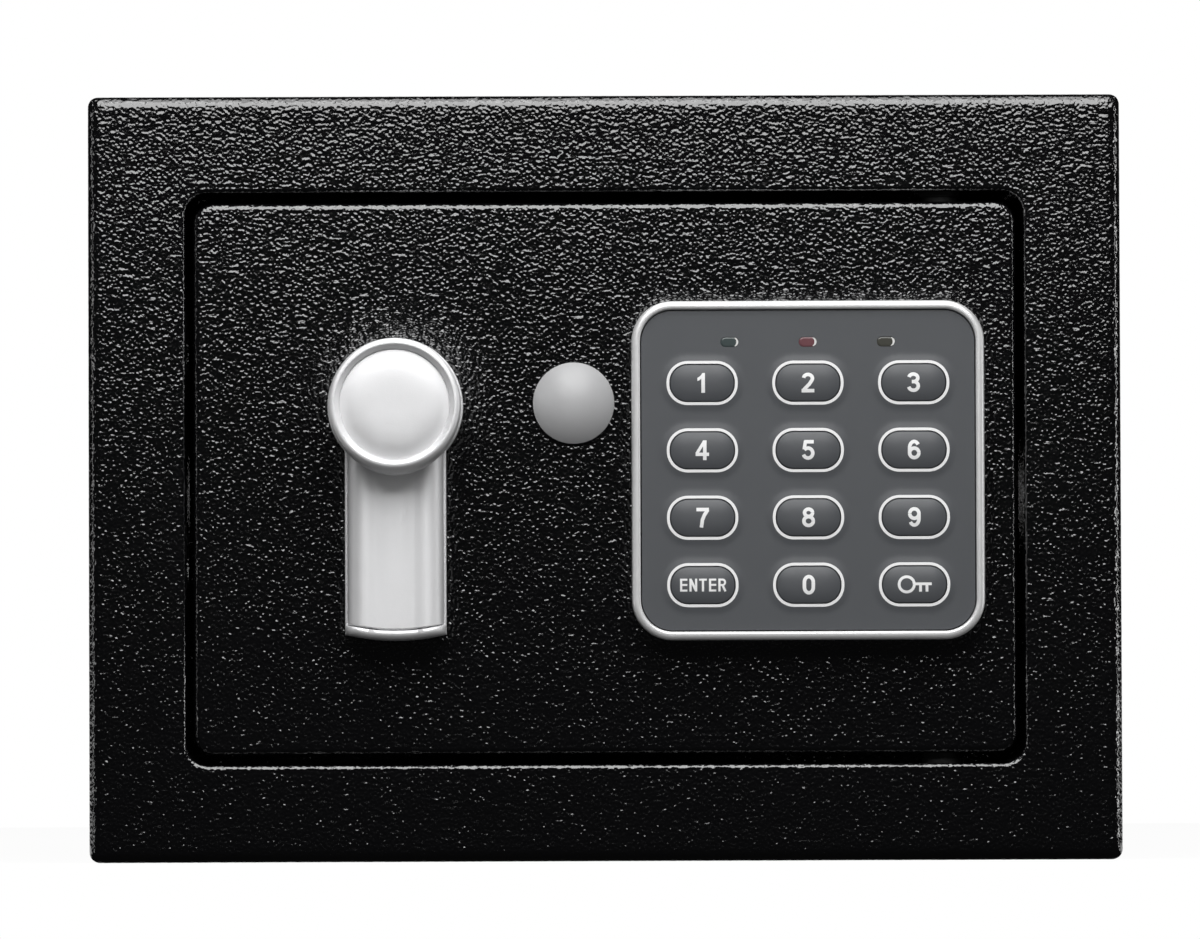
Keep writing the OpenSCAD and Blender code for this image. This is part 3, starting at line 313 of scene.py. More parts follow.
def lathe(profile, centre, lean=lambda h: 0.0):
    """A turned solid round an axis along Y, from its radii and heights above the door in mm.

    lean says by how many mm its lower side swells out at a height.
    """
    steps = 128
    turns = [2 * math.pi * i / steps for i in range(steps)]
    work = bmesh.new()
    rings = []
    for r, h in profile:
        y = DOOR - h * MM
        if r == 0:
            rings.append([work.verts.new((centre.x, y, centre.z))] * steps)
        else:
            ring = [(r * MM * math.cos(a), (r * math.sin(a) - lean(h) * min(math.sin(a), 0) ** 2) * MM)
                    for a in turns]
            rings.append([work.verts.new((centre.x + x, y, centre.z + z)) for x, z in ring])
    for a, b in zip(rings, rings[1:]):
        for i in range(steps):
            j = (i + 1) % steps
            work.faces.new(list(dict.fromkeys((a[i], a[j], b[j], b[i]))))
    bmesh.ops.recalc_face_normals(work, faces=work.faces)
    return work


def oval(cx, cy, rx, ry, start, end, steps=16):
    """Points of an oval's arc, from start to end degrees."""
    return [(cx + rx * math.cos(math.radians(start + (end - start) * i / steps)),
             cy + ry * math.sin(math.radians(start + (end - start) * i / steps))) for i in range(steps + 1)]


def bend(cx, cy, r, start, end, steps):
    """Points of a round arc, for a profile."""
    return oval(cx, cy, r, r, start, end, steps)


def combined(name, parts, coat):
    """One closed piece out of overlapping ones."""
    whole, *others = [shown(name, part, coat) for part in parts]
    for other in others:
        join = whole.modifiers.new("join", "BOOLEAN")
        join.operation, join.solver, join.object = "UNION", "EXACT", other
        made = bpy.data.meshes.new_from_object(whole.evaluated_get(bpy.context.evaluated_depsgraph_get()))
        whole.modifiers.remove(join)
        whole.data = made
        bpy.data.objects.remove(other)
    work = bmesh.new()
    work.from_mesh(whole.data)
    bmesh.ops.remove_doubles(work, verts=work.verts, dist=1e-7)
    bpy.data.objects.remove(whole)
    return shown(name, work, coat)


# Heights above the door in mm: the cover's back, the base's front and back, and the grip's back and front.
SPLIT, BASE_TOP, BASE_BACK, GRIP_BACK, GRIP_TOP = 6.15, 6.0, 0.4, 2.0, 11.0
# The grip in mm: half its width, and below the axis its start under the head, the seam between cover and
# base, and its end. Its end bows by GRIP_BOW, and its front rises by GRIP_SLOPE per mm towards the end.
GRIP_HALF, UNDER_HEAD, GRIP_SEAM, GRIP_END, GRIP_BOW, GRIP_SLOPE = 10.65, 6.0, 49.6, 52.0, 1.4, 0.02
# Its round shoulders and the dish between them, with half the dish's width, its depth and its sloping sides.
SHOULDER, DISH_HALF, DISH_DEPTH, DISH_SLOPE = 4.0, 6.5, 0.35, 2.6
# The base is a little wider. SEAM_GAP parts its lip from the cover, and the lip stands a HAIR inside it.
# The ends of the cover and of the lip are rolled over by COVER_ROLL and BASE_ROLL.
BASE_HALF, SEAM_GAP, HAIR = 11.2, 0.25, 0.05
COVER_ROLL, BASE_ROLL, ROLL_STEPS = 0.3, 1.5, 8


def grip_height(x):
    """Height of the grip's front above the door, across its width."""
    past = abs(x) - (GRIP_HALF - SHOULDER)
    level = GRIP_TOP if past <= 0 else GRIP_TOP - SHOULDER + math.sqrt(max(SHOULDER ** 2 - past ** 2, 0))
    slope = min(max((DISH_HALF - abs(x)) / DISH_SLOPE, 0), 1)
    return level - DISH_DEPTH * slope * slope * (3 - 2 * slope)


def grip(start, end, bow, wide, floor, roll):
    """A stretch of the grip from start to end below the axis, in mm, with its bowed end rolled over.

    bow is how far its start bows, wide a factor on its width, floor the height of its back and roll the
    radius of its rolled end.
    """
    half = [GRIP_HALF - SHOULDER + SHOULDER * math.sin(math.radians(a)) for a in range(90, 0, -9)]
    half += [GRIP_HALF - SHOULDER, DISH_HALF]
    half += [DISH_HALF - DISH_SLOPE * i / 6 for i in range(1, 7)] + [3.0, 1.5]
    across = [-x for x in half] + [0.0] + half[::-1]
    line = [(-GRIP_HALF, floor)] + [(x, grip_height(x)) for x in across] + [(GRIP_HALF, floor)]
    rows = [[(x, max(h - GRIP_SLOPE * (end - start), floor), -start + bow * (x / GRIP_HALF) ** 2)
             for x, h in line]]
    for i in range(ROLL_STEPS + 1):
        turn = math.radians(90 * i / ROLL_STEPS)
        back, drop = roll * (1 - math.sin(turn)), roll * (1 - math.cos(turn))
        rows.append([(x, max(h - drop, floor), -end + GRIP_BOW * (x / GRIP_HALF) ** 2 + back)
                     for x, h in line])
    rows.append([(x, floor, -end + GRIP_BOW * (x / GRIP_HALF) ** 2) for x, h in line])
    work = bmesh.new()
    grid = [[work.verts.new((AXIS.x + x * wide * MM, DOOR - h * MM, AXIS.z + z * MM)) for x, h, z in row]
            for row in rows]
    for a, b in zip(grid, grid[1:]):
        for i in range(len(a) - 1):
            work.faces.new((a[i], a[i + 1], b[i + 1], b[i]))
    work.faces.new(grid[0])
    work.faces.new([row[0] for row in grid] + grid[-1][1:-1] + [row[-1] for row in reversed(grid)])
    bmesh.ops.remove_doubles(work, verts=work.verts, dist=1e-7)
    bmesh.ops.recalc_face_normals(work, faces=work.faces)
    return work


def base_plate(half, end, rim):
    """The flat part of the handle's base below its head, with its front edge rounded by rim."""
    bow_steps = 8
    corners = [(x * half / bow_steps, -end + GRIP_BOW * (x / bow_steps) ** 2)
               for x in range(-bow_steps, bow_steps + 1)]
    work = bmesh.new()
    rings = []
    for inset, h in [(0, GRIP_BACK)] + [(rim - x, BASE_TOP - rim + y) for x, y in bend(0, 0, rim, 0, 90, 5)]:
        shrink = (half - inset) / half
        loop = [(x * shrink, z + inset) for x, z in corners]
        rings.append([work.verts.new((AXIS.x + x * MM, DOOR - h * MM, AXIS.z + z * MM))
                      for x, z in loop + [(loop[-1][0], -UNDER_HEAD), (loop[0][0], -UNDER_HEAD)]])
    for a, b in zip(rings, rings[1:]):
        for i in range(len(a)):
            work.faces.new((a[i], a[(i + 1) % len(a)], b[(i + 1) % len(a)], b[i]))
    work.faces.new(rings[0])
    work.faces.new(rings[-1])
    bmesh.ops.recalc_face_normals(work, faces=work.faces)
    return work


# The cover's head in mm: its radius, front and rounding, the inner edge of its rim with its own rounding,
# and the recess. It widens by DRAFT at its foot, and its lower side leans out by LEAN, but for its rim.
HEAD_R, HEAD_TOP, HEAD_ROUND, RIM_IN, RIM_ROUND, RECESS_R, RECESS = 14.5, 20.0, 1.0, 13.3, 0.25, 12.15, 18.2
DRAFT, CHAMFER, LEAN, LEAN_FADE = 0.1, 0.2, 1.0, 1.75
head = lathe([(0, SPLIT), (HEAD_R + DRAFT - CHAMFER, SPLIT), (HEAD_R + DRAFT, SPLIT + CHAMFER),
              (HEAD_R + DRAFT, 10.6), (HEAD_R, 17.8), (HEAD_R, 18.2), (HEAD_R, 18.6)]
             + bend(HEAD_R - HEAD_ROUND, HEAD_TOP - HEAD_ROUND, HEAD_ROUND, 0, 90, 8)
             + bend(RIM_IN, HEAD_TOP - RIM_ROUND, RIM_ROUND, 90, 130, 3)
             + [(12.4, 19.2), (12.22, 19.0), (RECESS_R, RECESS + 0.05), (0, RECESS)], AXIS,
             lean=lambda h: LEAN * min(max((HEAD_TOP - RIM_ROUND - h) / LEAN_FADE, 0), 1))
cover_grip = grip(UNDER_HEAD, GRIP_SEAM, 0, 1.0, SPLIT, COVER_ROLL)
grip_cover = combined("die_cast_handle_cover", [head, cover_grip], satin_silver)
stands_for(grip_cover, "handle_cover", "handle")

FOOT_R, FOOT_ROUND = 15.0, 0.4
foot = lathe([(0, BASE_BACK), (FOOT_R - CHAMFER, BASE_BACK), (FOOT_R, BASE_BACK + CHAMFER)]
             + bend(FOOT_R - FOOT_ROUND, BASE_TOP - FOOT_ROUND, FOOT_ROUND, 0, 90, 5)
             + [(0, BASE_TOP)], AXIS)
base_lip = grip(GRIP_SEAM + SEAM_GAP, GRIP_END - HAIR, GRIP_BOW, (BASE_HALF - 2 * HAIR) / GRIP_HALF,
                GRIP_BACK, BASE_ROLL)
grip_base = combined("die_cast_handle_base", [foot, base_plate(BASE_HALF, GRIP_END, FOOT_ROUND), base_lip],
                     satin_silver)
stands_for(grip_base, "handle_base", "handle")

DISC_R, DISC_ROUND, DISC_TOP, DOME, DOME_POWER = 12.05, 0.2, 19.2, 0.88, 4.5
disc = shown("handle_disc", lathe(
    [(0, RECESS), (DISC_R - 0.15, RECESS), (DISC_R, RECESS + 0.1)]
    + bend(DISC_R - DISC_ROUND, RECESS + 0.13, DISC_ROUND, 0, 65, 4)
    + [(DISC_R * i / 12, DISC_TOP - DOME * (i / 12) ** DOME_POWER) for i in range(11, 0, -1)]
    + [(0, DISC_TOP)], AXIS), satin_silver)
stands_for(disc, "handle_cap", "handle")


# Plug. A moulded dome of grey ABS that clips over the emergency key lock and is pulled off by hand. Its
# mould leaves a very fine grain, which softens the highlight on it.
plug_plastic = grained("moulded_grey_abs", "9e9e9f", 0.38, 0.3, 0.008)
plug = plain_copy("cover_plug", "emergency_lock_plug", plug_plastic)
stands_for(plug, "cover_plug", "plug")


# Keypad frame. An ABS moulding that lies on the door, whose narrow rounded band stands round the panel.
# It is plated in satin chrome, which gives it a smooth, bright metal edge.
satin_chrome = grained("satin_chrome_on_abs", "dedede", 0.42, 0.2, 0.004, metallic=0.6, spread=0.04)
low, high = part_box("keypad_bezel")
PAD = Vector(((low.x + high.x) / 2, 0, (low.z + high.z) / 2))
BEZEL_W, BEZEL_H, BEZEL_TOP = (high.x - low.x) / MM, (high.z - low.z) / MM, (DOOR - low.y) / MM
BEZEL_R, BAND, BAND_OUTER, BAND_INNER = 9.0, 1.9, 1.1, 0.6


def round_rect(w, h, r, steps=10):
    """Outline with round corners, anticlockwise from the right, always with the same number of points."""
    points = []
    for sx, sz, start in ((1, 1, 0), (-1, 1, 90), (-1, -1, 180), (1, -1, 270)):
        for i in range(steps + 1):
            a = math.radians(start + 90 * i / steps)
            points.append((sx * (w / 2 - r) + r * math.cos(a), sz * (h / 2 - r) + r * math.sin(a)))
    return points


def stacked(rings, centre, wrap=False):
    """A solid of outlines, each at a height above the door in mm.

    It is closed by two end faces or, with wrap, by joining its last outline to its first.
    """
    work = bmesh.new()
    grid = [[work.verts.new((centre.x + x * MM, DOOR - h * MM, centre.z + z * MM)) for x, z in outline]
            for outline, h in rings]
    count = len(grid[0])
    for a, b in list(zip(grid, grid[1:])) + ([(grid[-1], grid[0])] if wrap else []):
        for i in range(count):
            j = (i + 1) % count
            work.faces.new((a[i], a[j], b[j], b[i]))
    if not wrap:
        work.faces.new(grid[0])
        work.faces.new(grid[-1])
    bmesh.ops.recalc_face_normals(work, faces=work.faces)
    return work


band = [(0, 0), (0, BEZEL_TOP - BAND_OUTER)]
band += [(BAND_OUTER - x, y) for x, y in bend(0, BEZEL_TOP - BAND_OUTER, BAND_OUTER, 0, 90, 8)[1:]]
band += bend(BAND - BAND_INNER, BEZEL_TOP - BAND_INNER, BAND_INNER, 90, 0, 6)
band += [(BAND, 0)]
rings = [(round_rect(BEZEL_W - 2 * i, BEZEL_H - 2 * i, BEZEL_R - i, 16), h) for i, h in band]
bezel = shown("keypad_bright_frame", stacked(rings, PAD, wrap=True), satin_chrome)
stands_for(bezel, "keypad_bezel", "door")


# Keypad panel. A satin ABS moulding that swells up softly round each of its twelve key openings, with
# three small windows for the indicator lamps above them. Its fine grain leaves an even, dull sheen.
grey_abs = grained("satin_dark_grey_abs", "45474a", 0.42, 0.25, 0.006, spread=0.06)
low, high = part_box("keypad_panel")
PANEL_W, PANEL_H, PANEL_R = (high.x - low.x) / MM, (high.z - low.z) / MM, 6.85
PANEL_FRONT, PANEL_BACK = (DOOR - low.y) / MM, (DOOR - high.y) / MM
KEY_W, KEY_H, KEY_R, KEY_GAP = 14.4, 8.4, 4.0, 0.15
SWELL, SWELL_REACH = 0.34, 2.4
WINDOW_W, WINDOW_H, WINDOW_R = 4.04, 2.24, 1.1


def on_pad(node):
    """Middle of a CAD node, in mm from the keypad's own."""
    low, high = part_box(node)
    return (low.x + high.x) / 2 / MM - PAD.x / MM, (low.z + high.z) / 2 / MM - PAD.z / MM


KEY_NAMES = ("1", "2", "3", "4", "5", "6", "7", "8", "9", "enter", "0", "unlock")
key_centres = {key: on_pad("key_" + key) for key in KEY_NAMES}
lamp_centres = {lamp: on_pad(lamp) for lamp in ("led_green", "led_red", "led_yellow")}


def beyond(x, z, centre, w, h, r):
    """Distance outside an outline with round corners, negative inside it."""
    dx, dz = abs(x - centre[0]) - w / 2 + r, abs(z - centre[1]) - h / 2 + r
    return math.hypot(max(dx, 0), max(dz, 0)) + min(max(dx, dz), 0) - r


def panel_height(x, z):
    """Front of the panel above the door: level, and swollen next to each key."""
    flat = 1.0
    for centre in key_centres.values():
        near = 1 - min(max(beyond(x, z, centre, KEY_W, KEY_H, KEY_R) / SWELL_REACH, 0), 1)
        flat *= 1 - near * near * (3 - 2 * near)
    return PANEL_FRONT + SWELL * (1 - flat)


def clear(x, z, edge, keys, windows):
    """Whether a point is on the panel and further than these distances from its edge, keys and windows."""
    return (beyond(x, z, (0, 0), PANEL_W, PANEL_H, PANEL_R) < -edge
            and all(beyond(x, z, c, KEY_W, KEY_H, KEY_R) > keys for c in key_centres.values())
            and all(beyond(x, z, c, WINDOW_W, WINDOW_H, WINDOW_R) > windows for c in lamp_centres.values()))


def triangles(points, loops):
    """Vertices and faces of a flat mesh through points and along closed loops."""
    flat = [Vector(p) for p in points]
    edges = []
    for loop in loops:
        start = len(flat)
        flat += [Vector(p) for p in loop]
        edges += [(start + i, start + (i + 1) % len(loop)) for i in range(len(loop))]
    verts, _, faces, _, _, _ = geometry.delaunay_2d_cdt(flat, edges, [], 0, 1e-5)
    return verts, faces


def sheet(points, loops, keep, lift):
    """A sheet of the triangles whose middle keep accepts. lift gives the place of each of its points."""
    verts, faces = triangles(points, loops)
    work = bmesh.new()
    made = [work.verts.new(lift(v.x, v.y)) for v in verts]
    for face in faces:
        x, z = (sum(verts[i][k] for i in face) / len(face) for k in (0, 1))
        if keep(x, z):
            work.faces.new([made[i] for i in face])
    bmesh.ops.delete(work, geom=[v for v in work.verts if not v.link_faces], context="VERTS")
    return work


def backed(work, depth):
    """Closes a sheet into a solid. depth gives the y of each point of its back."""
    grown = bmesh.ops.extrude_face_region(work, geom=list(work.faces), use_keep_orig=True)
    for v in (g for g in grown["geom"] if isinstance(g, bmesh.types.BMVert)):
        v.co.y = depth(v.co)
    bmesh.ops.recalc_face_normals(work, faces=work.faces)
    return work


def along(outline, step=1.0):
    """An outline with its long sides divided."""
    points = []
    for a, b in zip(outline, outline[1:] + outline[:1]):
        count = max(1, round(math.dist(a, b) / step))
        points += [(a[0] + (b[0] - a[0]) * i / count, a[1] + (b[1] - a[1]) * i / count) for i in range(count)]
    return points


def moved(outline, centre):
    """An outline moved to a centre."""
    return [(x + centre[0], z + centre[1]) for x, z in outline]


# Loops along the openings, rings round them for the swelling, and a wide grid of points on the flat rest.
loops = [along(round_rect(PANEL_W, PANEL_H, PANEL_R, 16))]
points = []
for centre in key_centres.values():
    hole = KEY_W + 2 * KEY_GAP, KEY_H + 2 * KEY_GAP, KEY_R + KEY_GAP
    loops.append(moved(along(round_rect(*hole, 12), 0.8), centre))
    for grow in (0.5, 1.0, 1.6, 2.2, 2.8):
        ring = round_rect(hole[0] + 2 * grow, hole[1] + 2 * grow, hole[2] + grow, 12)
        points += moved(along(ring, 0.8), centre)
for centre in lamp_centres.values():
    loops.append(moved(round_rect(WINDOW_W, WINDOW_H, WINDOW_R, 8), centre))
GRID = 1.5
columns, rows = int(PANEL_W / 2 / GRID), int(PANEL_H / 2 / GRID)
points += [(i * GRID, j * GRID) for i in range(-columns, columns + 1) for j in range(-rows, rows + 1)
           if clear(i * GRID, j * GRID, 0.7, SWELL_REACH + 0.4, 0.6)]
moulding = sheet(points, loops, lambda x, z: clear(x, z, 0, KEY_GAP, 0),
                 lambda x, z: (PAD.x + x * MM, DOOR - panel_height(x, z) * MM, PAD.z + z * MM))
panel = shown("moulded_keypad_panel", backed(moulding, lambda co: DOOR - PANEL_BACK * MM), grey_abs, 50)
stands_for(panel, "keypad_panel", "door")


# Keys. Twelve pillows with rounded tops, moulded in the panel's grey ABS. Each is pushed back 0.8 mm
# against the rubber mat behind it.
KEY_LOW, KEY_EDGE, KEY_TOP = 5.0, 7.1, (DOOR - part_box("key_1")[0].y) / MM
PILLOW, PILLOW_POWER = 0.75, 2.2


def pillow_height(inside):
    """Top of a key above the door, at a distance inside its edge. It falls away faster towards the edge."""
    return KEY_TOP - PILLOW * (1 - min(inside / (KEY_H / 2), 1)) ** PILLOW_POWER


def key_height(x, z, centre):
    """Top of the key at centre, at a place on the keypad."""
    return pillow_height(-beyond(x, z, centre, KEY_W, KEY_H, KEY_R))


pillow = [(0, KEY_LOW), (0, KEY_EDGE - 0.25), (0.08, KEY_EDGE - 0.05)]
pillow += [(i, pillow_height(i)) for i in (0.25, 0.5, 0.8, 1.2, 1.7, 2.3, 3.0, 3.8)]
for key, centre in key_centres.items():
    rings = [(moved(round_rect(KEY_W - 2 * i, KEY_H - 2 * i, KEY_R - i, 10), centre), h) for i, h in pillow]
    cap = shown("key_cap_" + key, stacked(rings, PAD), grey_abs)
    stands_for(cap, "key_" + key, "button_" + key)


# White print. Numerals, a word and a key sign are pad-printed on the keys, and a line round each of the
# panel's openings. The ink dries to a thin, even, slightly raised white film.
white_ink = grained("white_pad_print_ink", "d8d8d8", 0.5, 0.2, 0.003)
INK, FINE_EDGE = 0.035, 0.7


def laid_on(work, centre, name, body):
    """Lays a flat figure, in mm round the middle of its key, on the key's top and gives it a thickness."""
    bmesh.ops.triangulate(work, faces=work.faces)
    for _ in range(3):
        long = [e for e in work.edges if e.calc_length() > FINE_EDGE]
        if long:
            bmesh.ops.subdivide_edges(work, edges=long, cuts=1, use_grid_fill=False)
            bmesh.ops.triangulate(work, faces=[f for f in work.faces if len(f.verts) > 3])
    flat = [(v, v.co.x + centre[0], v.co.y + centre[1]) for v in work.verts]
    for v, x, z in flat:
        v.co = (PAD.x + x * MM, DOOR - (key_height(x, z, centre) + INK) * MM, PAD.z + z * MM)
    piece = shown(name, backed(work, lambda co: co.y + 2 * INK * MM), white_ink)
    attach(piece, body)


def stroke(points, width):
    """Outline of a pen stroke of even width and square ends along points, in mm."""
    sides = [], []
    for i, (x, z) in enumerate(points):
        before, after = points[max(i - 1, 0)], points[min(i + 1, len(points) - 1)]
        into = Vector((x - before[0], z - before[1])) if i else Vector((after[0] - x, after[1] - z))
        out = Vector((after[0] - x, after[1] - z)) if i < len(points) - 1 else into
        turn = (into.normalized() + out.normalized()).normalized()
        reach = width / 2 / max(turn.dot(into.normalized()), 0.5)
        for side, way in zip(sides, (1, -1)):
            side.append((x - turn.y * reach * way, z + turn.x * reach * way))
    return sides[0] + sides[1][::-1]


def within(x, z, outline):
    """Whether a point lies inside a closed outline."""
    odd = False
    for (ax, az), (bx, bz) in zip(outline, outline[1:] + outline[:1]):
        if (az > z) != (bz > z) and x < ax + (z - az) / (bz - az) * (bx - ax):
            odd = not odd
    return odd


# Strokes of the numerals and of the smaller letters, drawn in mm round the middle of their place.
PEN, THIN, KEY_PEN = 0.78, 0.48, 0.62
six = [stroke(oval(0.02, -0.74, 1.02, 1.05, 0, 360, 28), PEN),
       stroke([(-1.0, -0.7), (-1.0, 0.2)] + oval(0.02, 0.35, 1.02, 1.44, 180, 32, 12), PEN)]
numerals = {
    "0": [stroke(oval(0, 0.55, 0.98, 1.24, 0, 180) + oval(0, -0.55, 0.98, 1.24, 180, 360)
                 + [(0.98, 0.55)], PEN)],
    "1": [[(0.62, -2.18), (0.62, 2.18), (0.04, 2.18), (-0.22, 1.72), (-0.66, 1.34), (-1.05, 1.12),
           (-1.05, 0.4), (-0.62, 0.58), (-0.18, 0.9), (-0.18, -2.18)]],
    "2": [stroke(oval(0, 0.92, 0.98, 0.87, 172, -28) + [(0.3, -0.35), (-0.95, -1.6)], PEN),
          stroke([(-1.42, -1.8), (1.4, -1.8)], PEN)],
    "3": [stroke(oval(-0.1, 0.96, 0.98, 0.84, 168, -78), PEN),
          stroke(oval(-0.08, -0.82, 1.06, 0.98, 78, -168), PEN),
          stroke([(-0.45, 0.13), (0.25, 0.13)], PEN)],
    "4": [stroke([(0.52, -2.18), (0.52, 2.18)], PEN),
          stroke([(-1.5, -0.9), (1.45, -0.9)], PEN * 0.95),
          stroke([(-1.28, -0.78), (0.44, 2.0)], PEN * 0.85)],
    "5": [stroke([(-0.82, 1.8), (1.22, 1.8)], PEN),
          stroke([(-0.6, 2.0), (-0.92, 0.1)], PEN * 0.95),
          stroke(oval(-0.06, -0.7, 1.06, 1.1, 140, -162), PEN)],
    "6": six,
    "7": [stroke([(-1.38, 1.8), (1.38, 1.8)], PEN),
          stroke([(1.12, 1.7), (0.4, 0.62), (-0.06, -0.5), (-0.3, -2.18)], PEN)],
    "8": [stroke(oval(0, 1.0, 0.88, 0.8, 0, 360, 28), PEN),
          stroke(oval(0, -0.83, 1.04, 0.97, 0, 360, 28), PEN)],
    "9": [[(-x, -z) for x, z in part] for part in six]}
letters = {
    "E": [stroke([(-0.56, -1.42), (-0.56, 1.42)], THIN)]
    + [stroke([(-0.6, z), (0.8, z)], THIN * 0.9) for z in (-1.2, 0.04, 1.2)],
    "N": [stroke([(x, -1.42), (x, 1.42)], THIN) for x in (-0.62, 0.62)]
    + [stroke([(-0.62, 1.3), (0.62, -1.3)], THIN * 1.1)],
    "T": [stroke([(-0.84, 1.2), (0.84, 1.2)], THIN * 0.9), stroke([(0, 1.3), (0, -1.42)], THIN)],
    "R": [stroke([(-0.62, -1.42), (-0.62, 1.42)], THIN),
          stroke([(-0.6, 1.2), (0.1, 1.2)] + oval(0.1, 0.6, 0.52, 0.6, 90, -90, 10) + [(-0.6, 0.0)],
                 THIN * 0.9),
          stroke([(0.05, 0.0), (0.72, -1.42)], THIN)]}
LETTER_PITCH = 2.13
word = [[(x + LETTER_PITCH * (i - 2), z) for x, z in part]
        for i, letter in enumerate("ENTER") for part in letters[letter]]
key_sign = [stroke(oval(-1.77, 0, 1.68, 1.68, 0, 360, 36), KEY_PEN),
            stroke([(-0.2, 0.1), (3.75, 0.1)], 0.6),
            stroke([(1.28, 0.2), (1.28, -1.62)], KEY_PEN),
            stroke([(2.7, 0.2), (2.7, -1.62)], KEY_PEN)]

for key, centre in key_centres.items():
    drawn = key_sign if key == "unlock" else word if key == "enter" else numerals[key]
    figure = sheet([], drawn, lambda x, z: any(within(x, z, part) for part in drawn), lambda x, z: (x, z, 0))
    laid_on(figure, centre, "print_on_key_" + key, "button_" + key)

# One line, from LINE_IN to LINE_OUT outside its key, near the top of the swelling and falling with it.
LINE_IN, LINE_OUT, LINE_RISE, SWELL_SHARE, LINE_FALL = 0.06, 0.68, 0.05, 0.99, 0.09
rings = [(round_rect(KEY_W + 2 * grow, KEY_H + 2 * grow, KEY_R + grow, 12),
          PANEL_FRONT + SWELL * SWELL_SHARE + rise - LINE_FALL * grow)
         for grow, rise in ((LINE_IN, 0.0), (LINE_IN, LINE_RISE), (LINE_OUT, LINE_RISE), (LINE_OUT, 0.0))]
one_line = shown("printed_line", stacked(rings, Vector(), wrap=True), white_ink)

tree = bpy.data.node_groups.new("lines_round_the_keys", "GeometryNodeTree")
tree.interface.new_socket("Geometry", in_out="OUTPUT", socket_type="NodeSocketGeometry")
for name in ("Column pitch", "Row pitch"):
    tree.interface.new_socket(name, in_out="INPUT", socket_type="NodeSocketFloat")
tree.interface.new_socket("Middle", in_out="INPUT", socket_type="NodeSocketVector")
tree.interface.new_socket("Line", in_out="INPUT", socket_type="NodeSocketObject")
sizes = add(tree, "NodeGroupInput").outputs
width = add(tree, "ShaderNodeMath", {0: sizes["Column pitch"], 1: 2.0}, operation="MULTIPLY")
tall = add(tree, "ShaderNodeMath", {0: sizes["Row pitch"], 1: 3.0}, operation="MULTIPLY")
places = add(tree, "GeometryNodeMeshGrid", {
    "Size X": width.outputs[0], "Size Y": tall.outputs[0], "Vertices X": 3, "Vertices Y": 4})
upright = add(tree, "GeometryNodeTransform", {
    "Geometry": places.outputs["Mesh"], "Translation": sizes["Middle"], "Rotation": (math.pi / 2, 0, 0)})
line = add(tree, "GeometryNodeObjectInfo", {"Object": sizes["Line"]})
each = add(tree, "GeometryNodeInstanceOnPoints", {
    "Points": upright.outputs[0], "Instance": line.outputs["Geometry"]})
solid = add(tree, "GeometryNodeRealizeInstances", {"Geometry": each.outputs[0]})
inked = add(tree, "GeometryNodeSetMaterial", {"Geometry": solid.outputs[0], "Material": white_ink})
add(tree, "NodeGroupOutput", {"Geometry": inked.outputs[0]})

carrier = bpy.data.objects.new("line_carrier", bpy.data.meshes.new("line_carrier"))
scene.collection.objects.link(carrier)
repeat = carrier.modifiers.new("lines", "NODES")
repeat.node_group = tree
first, last = key_centres["1"], key_centres["unlock"]
middle = Vector((PAD.x + (first[0] + last[0]) / 2 * MM, 0, PAD.z + (first[1] + last[1]) / 2 * MM))
values = {"Column pitch": (last[0] - first[0]) / 2 * MM, "Row pitch": (first[1] - last[1]) / 3 * MM,
          "Middle": middle, "Line": one_line}
for socket in tree.interface.items_tree:
    if socket.name in values and socket.in_out == "INPUT":
        repeat[socket.identifier] = values[socket.name]
carrier.data.update()
lines = bpy.data.meshes.new_from_object(carrier.evaluated_get(bpy.context.evaluated_depsgraph_get()))
carrier.modifiers.remove(repeat)
for old in (carrier, one_line):
    bpy.data.objects.remove(old)
lines.name = "printed_lines"
key_lines = bpy.data.objects.new("printed_lines_round_keys", lines)
scene.collection.objects.link(key_lines)
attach(key_lines, "door")
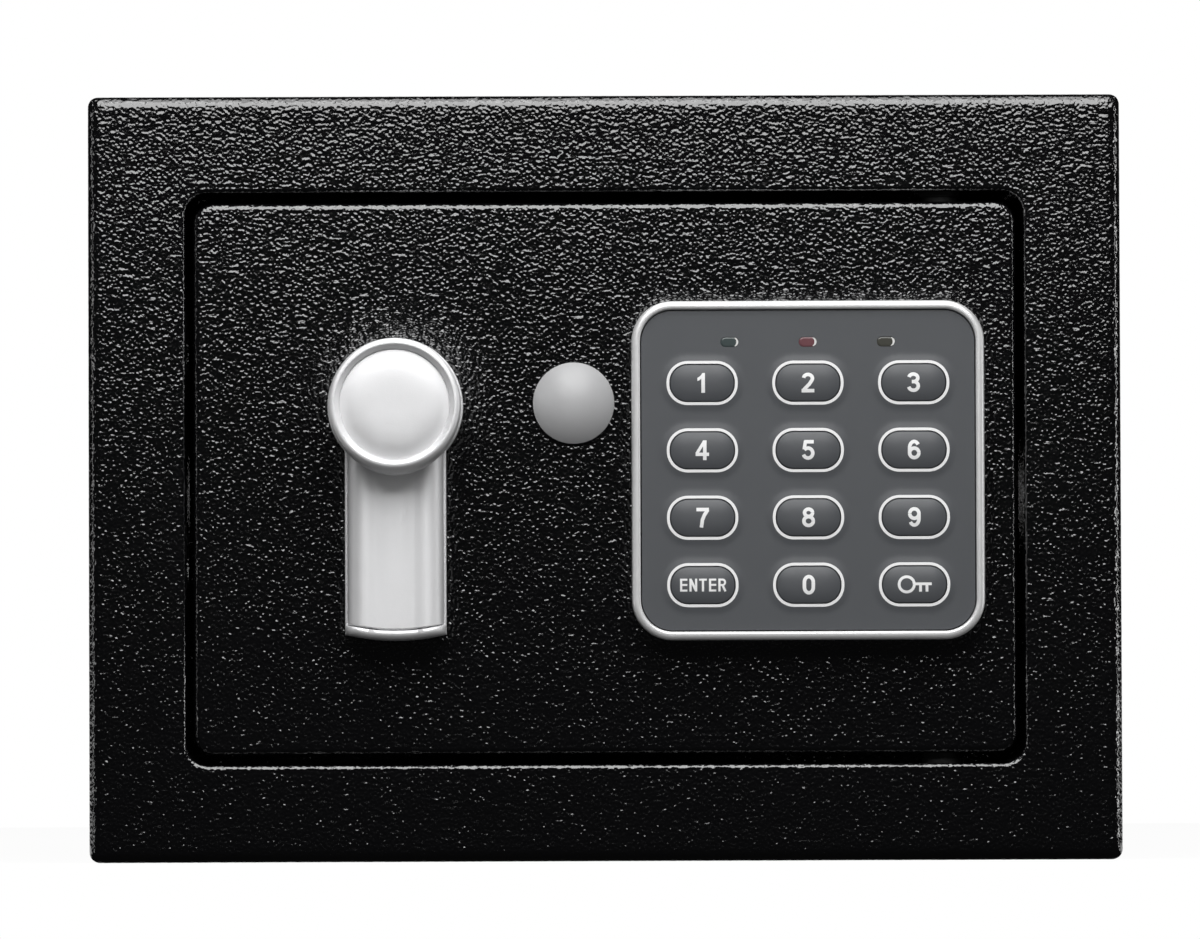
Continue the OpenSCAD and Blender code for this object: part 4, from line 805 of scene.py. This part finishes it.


# Indicator lamps. Clear tinted acrylic lenses, unlit and so nearly black, set a little below the panel.
# On the right of each stands a thin pale grey crescent, a painted highlight for the glint on the window's
# end.
glint_paint = grained("pale_grey_painted_lens_glint", "c4c4c2", 0.3, 0.2, 0.003)
LENS_W, LENS_H, LENS_R, LENS_BACK, LENS_TOP = 4.0, 2.2, 1.05, 3.0, 6.97
# Back and front, above the door in mm, of each crescent that carries the painted highlight.
GLINT_BACK, GLINT_TOP = 6.7, 7.02
lens_profile = [(0, LENS_BACK), (0, LENS_TOP - 0.17), (0.15, LENS_TOP - 0.04), (0.5, LENS_TOP)]
crescent = oval(0.95, 0, 1.0, 1.0, -70, 70, 14) + oval(0.75, 0, 0.75, 0.95, 70, -70, 14)
for lamp, tint in (("led_green", "3c4444"), ("led_red", "624145"), ("led_yellow", "3f3f3a")):
    colour = lamp[4:]
    centre = lamp_centres[lamp]
    glass = grained("tinted_acrylic_" + colour, tint, 0.12, 0.5, 0.002, spread=0.02)
    rings = [(moved(round_rect(LENS_W - 2 * i, LENS_H - 2 * i, LENS_R - i, 8), centre), h)
             for i, h in lens_profile]
    piece = shown("lens_" + colour, stacked(rings, PAD), glass)
    stands_for(piece, lamp, "door")
    moon = moved(crescent, centre)
    # The crescent's pale grey is a painted highlight, not a part of the lamp.
    piece = shown("light_guide_" + colour, stacked([(moon, GLINT_BACK), (moon, GLINT_TOP)], PAD), glint_paint)
    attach(piece, "door")


# Works behind the panel and inside the door. Moulded tray and battery box, a rubber mat with its
# circuit board, four alkaline cells, the solenoid's copper winding and the wires between them.
black_abs = grained("moulded_black_abs", "17171a", 0.5, 0.3, 0.008)
dress(("keypad_tray", "battery_box", "battery_lid", "reset_switch"), black_abs)
dress(("keypad_board",), grained("green_lacquered_circuit_board", "1d4a2c", 0.35, 0.4, 0.004))
dress(("key_mat",), grained("grey_silicone_rubber", "9a9a96", 0.6, 0.3, 0.004))
dress(("battery_cells",), grained("printed_foil_cell_jacket", "a8762c", 0.3, 0.5, 0.003, metallic=0.6))
dress(("wire_loom",), grained("red_pvc_wire_cover", "7c1a1a", 0.45, 0.3, 0.003))
dress(("solenoid_coil",), grained("enamelled_copper_winding", "8e4a22", 0.35, 0.25, 0.03, metallic=0.9))
dress(("reset_button",), grained("moulded_red_abs", "9c1c1c", 0.4, 0.3, 0.005))
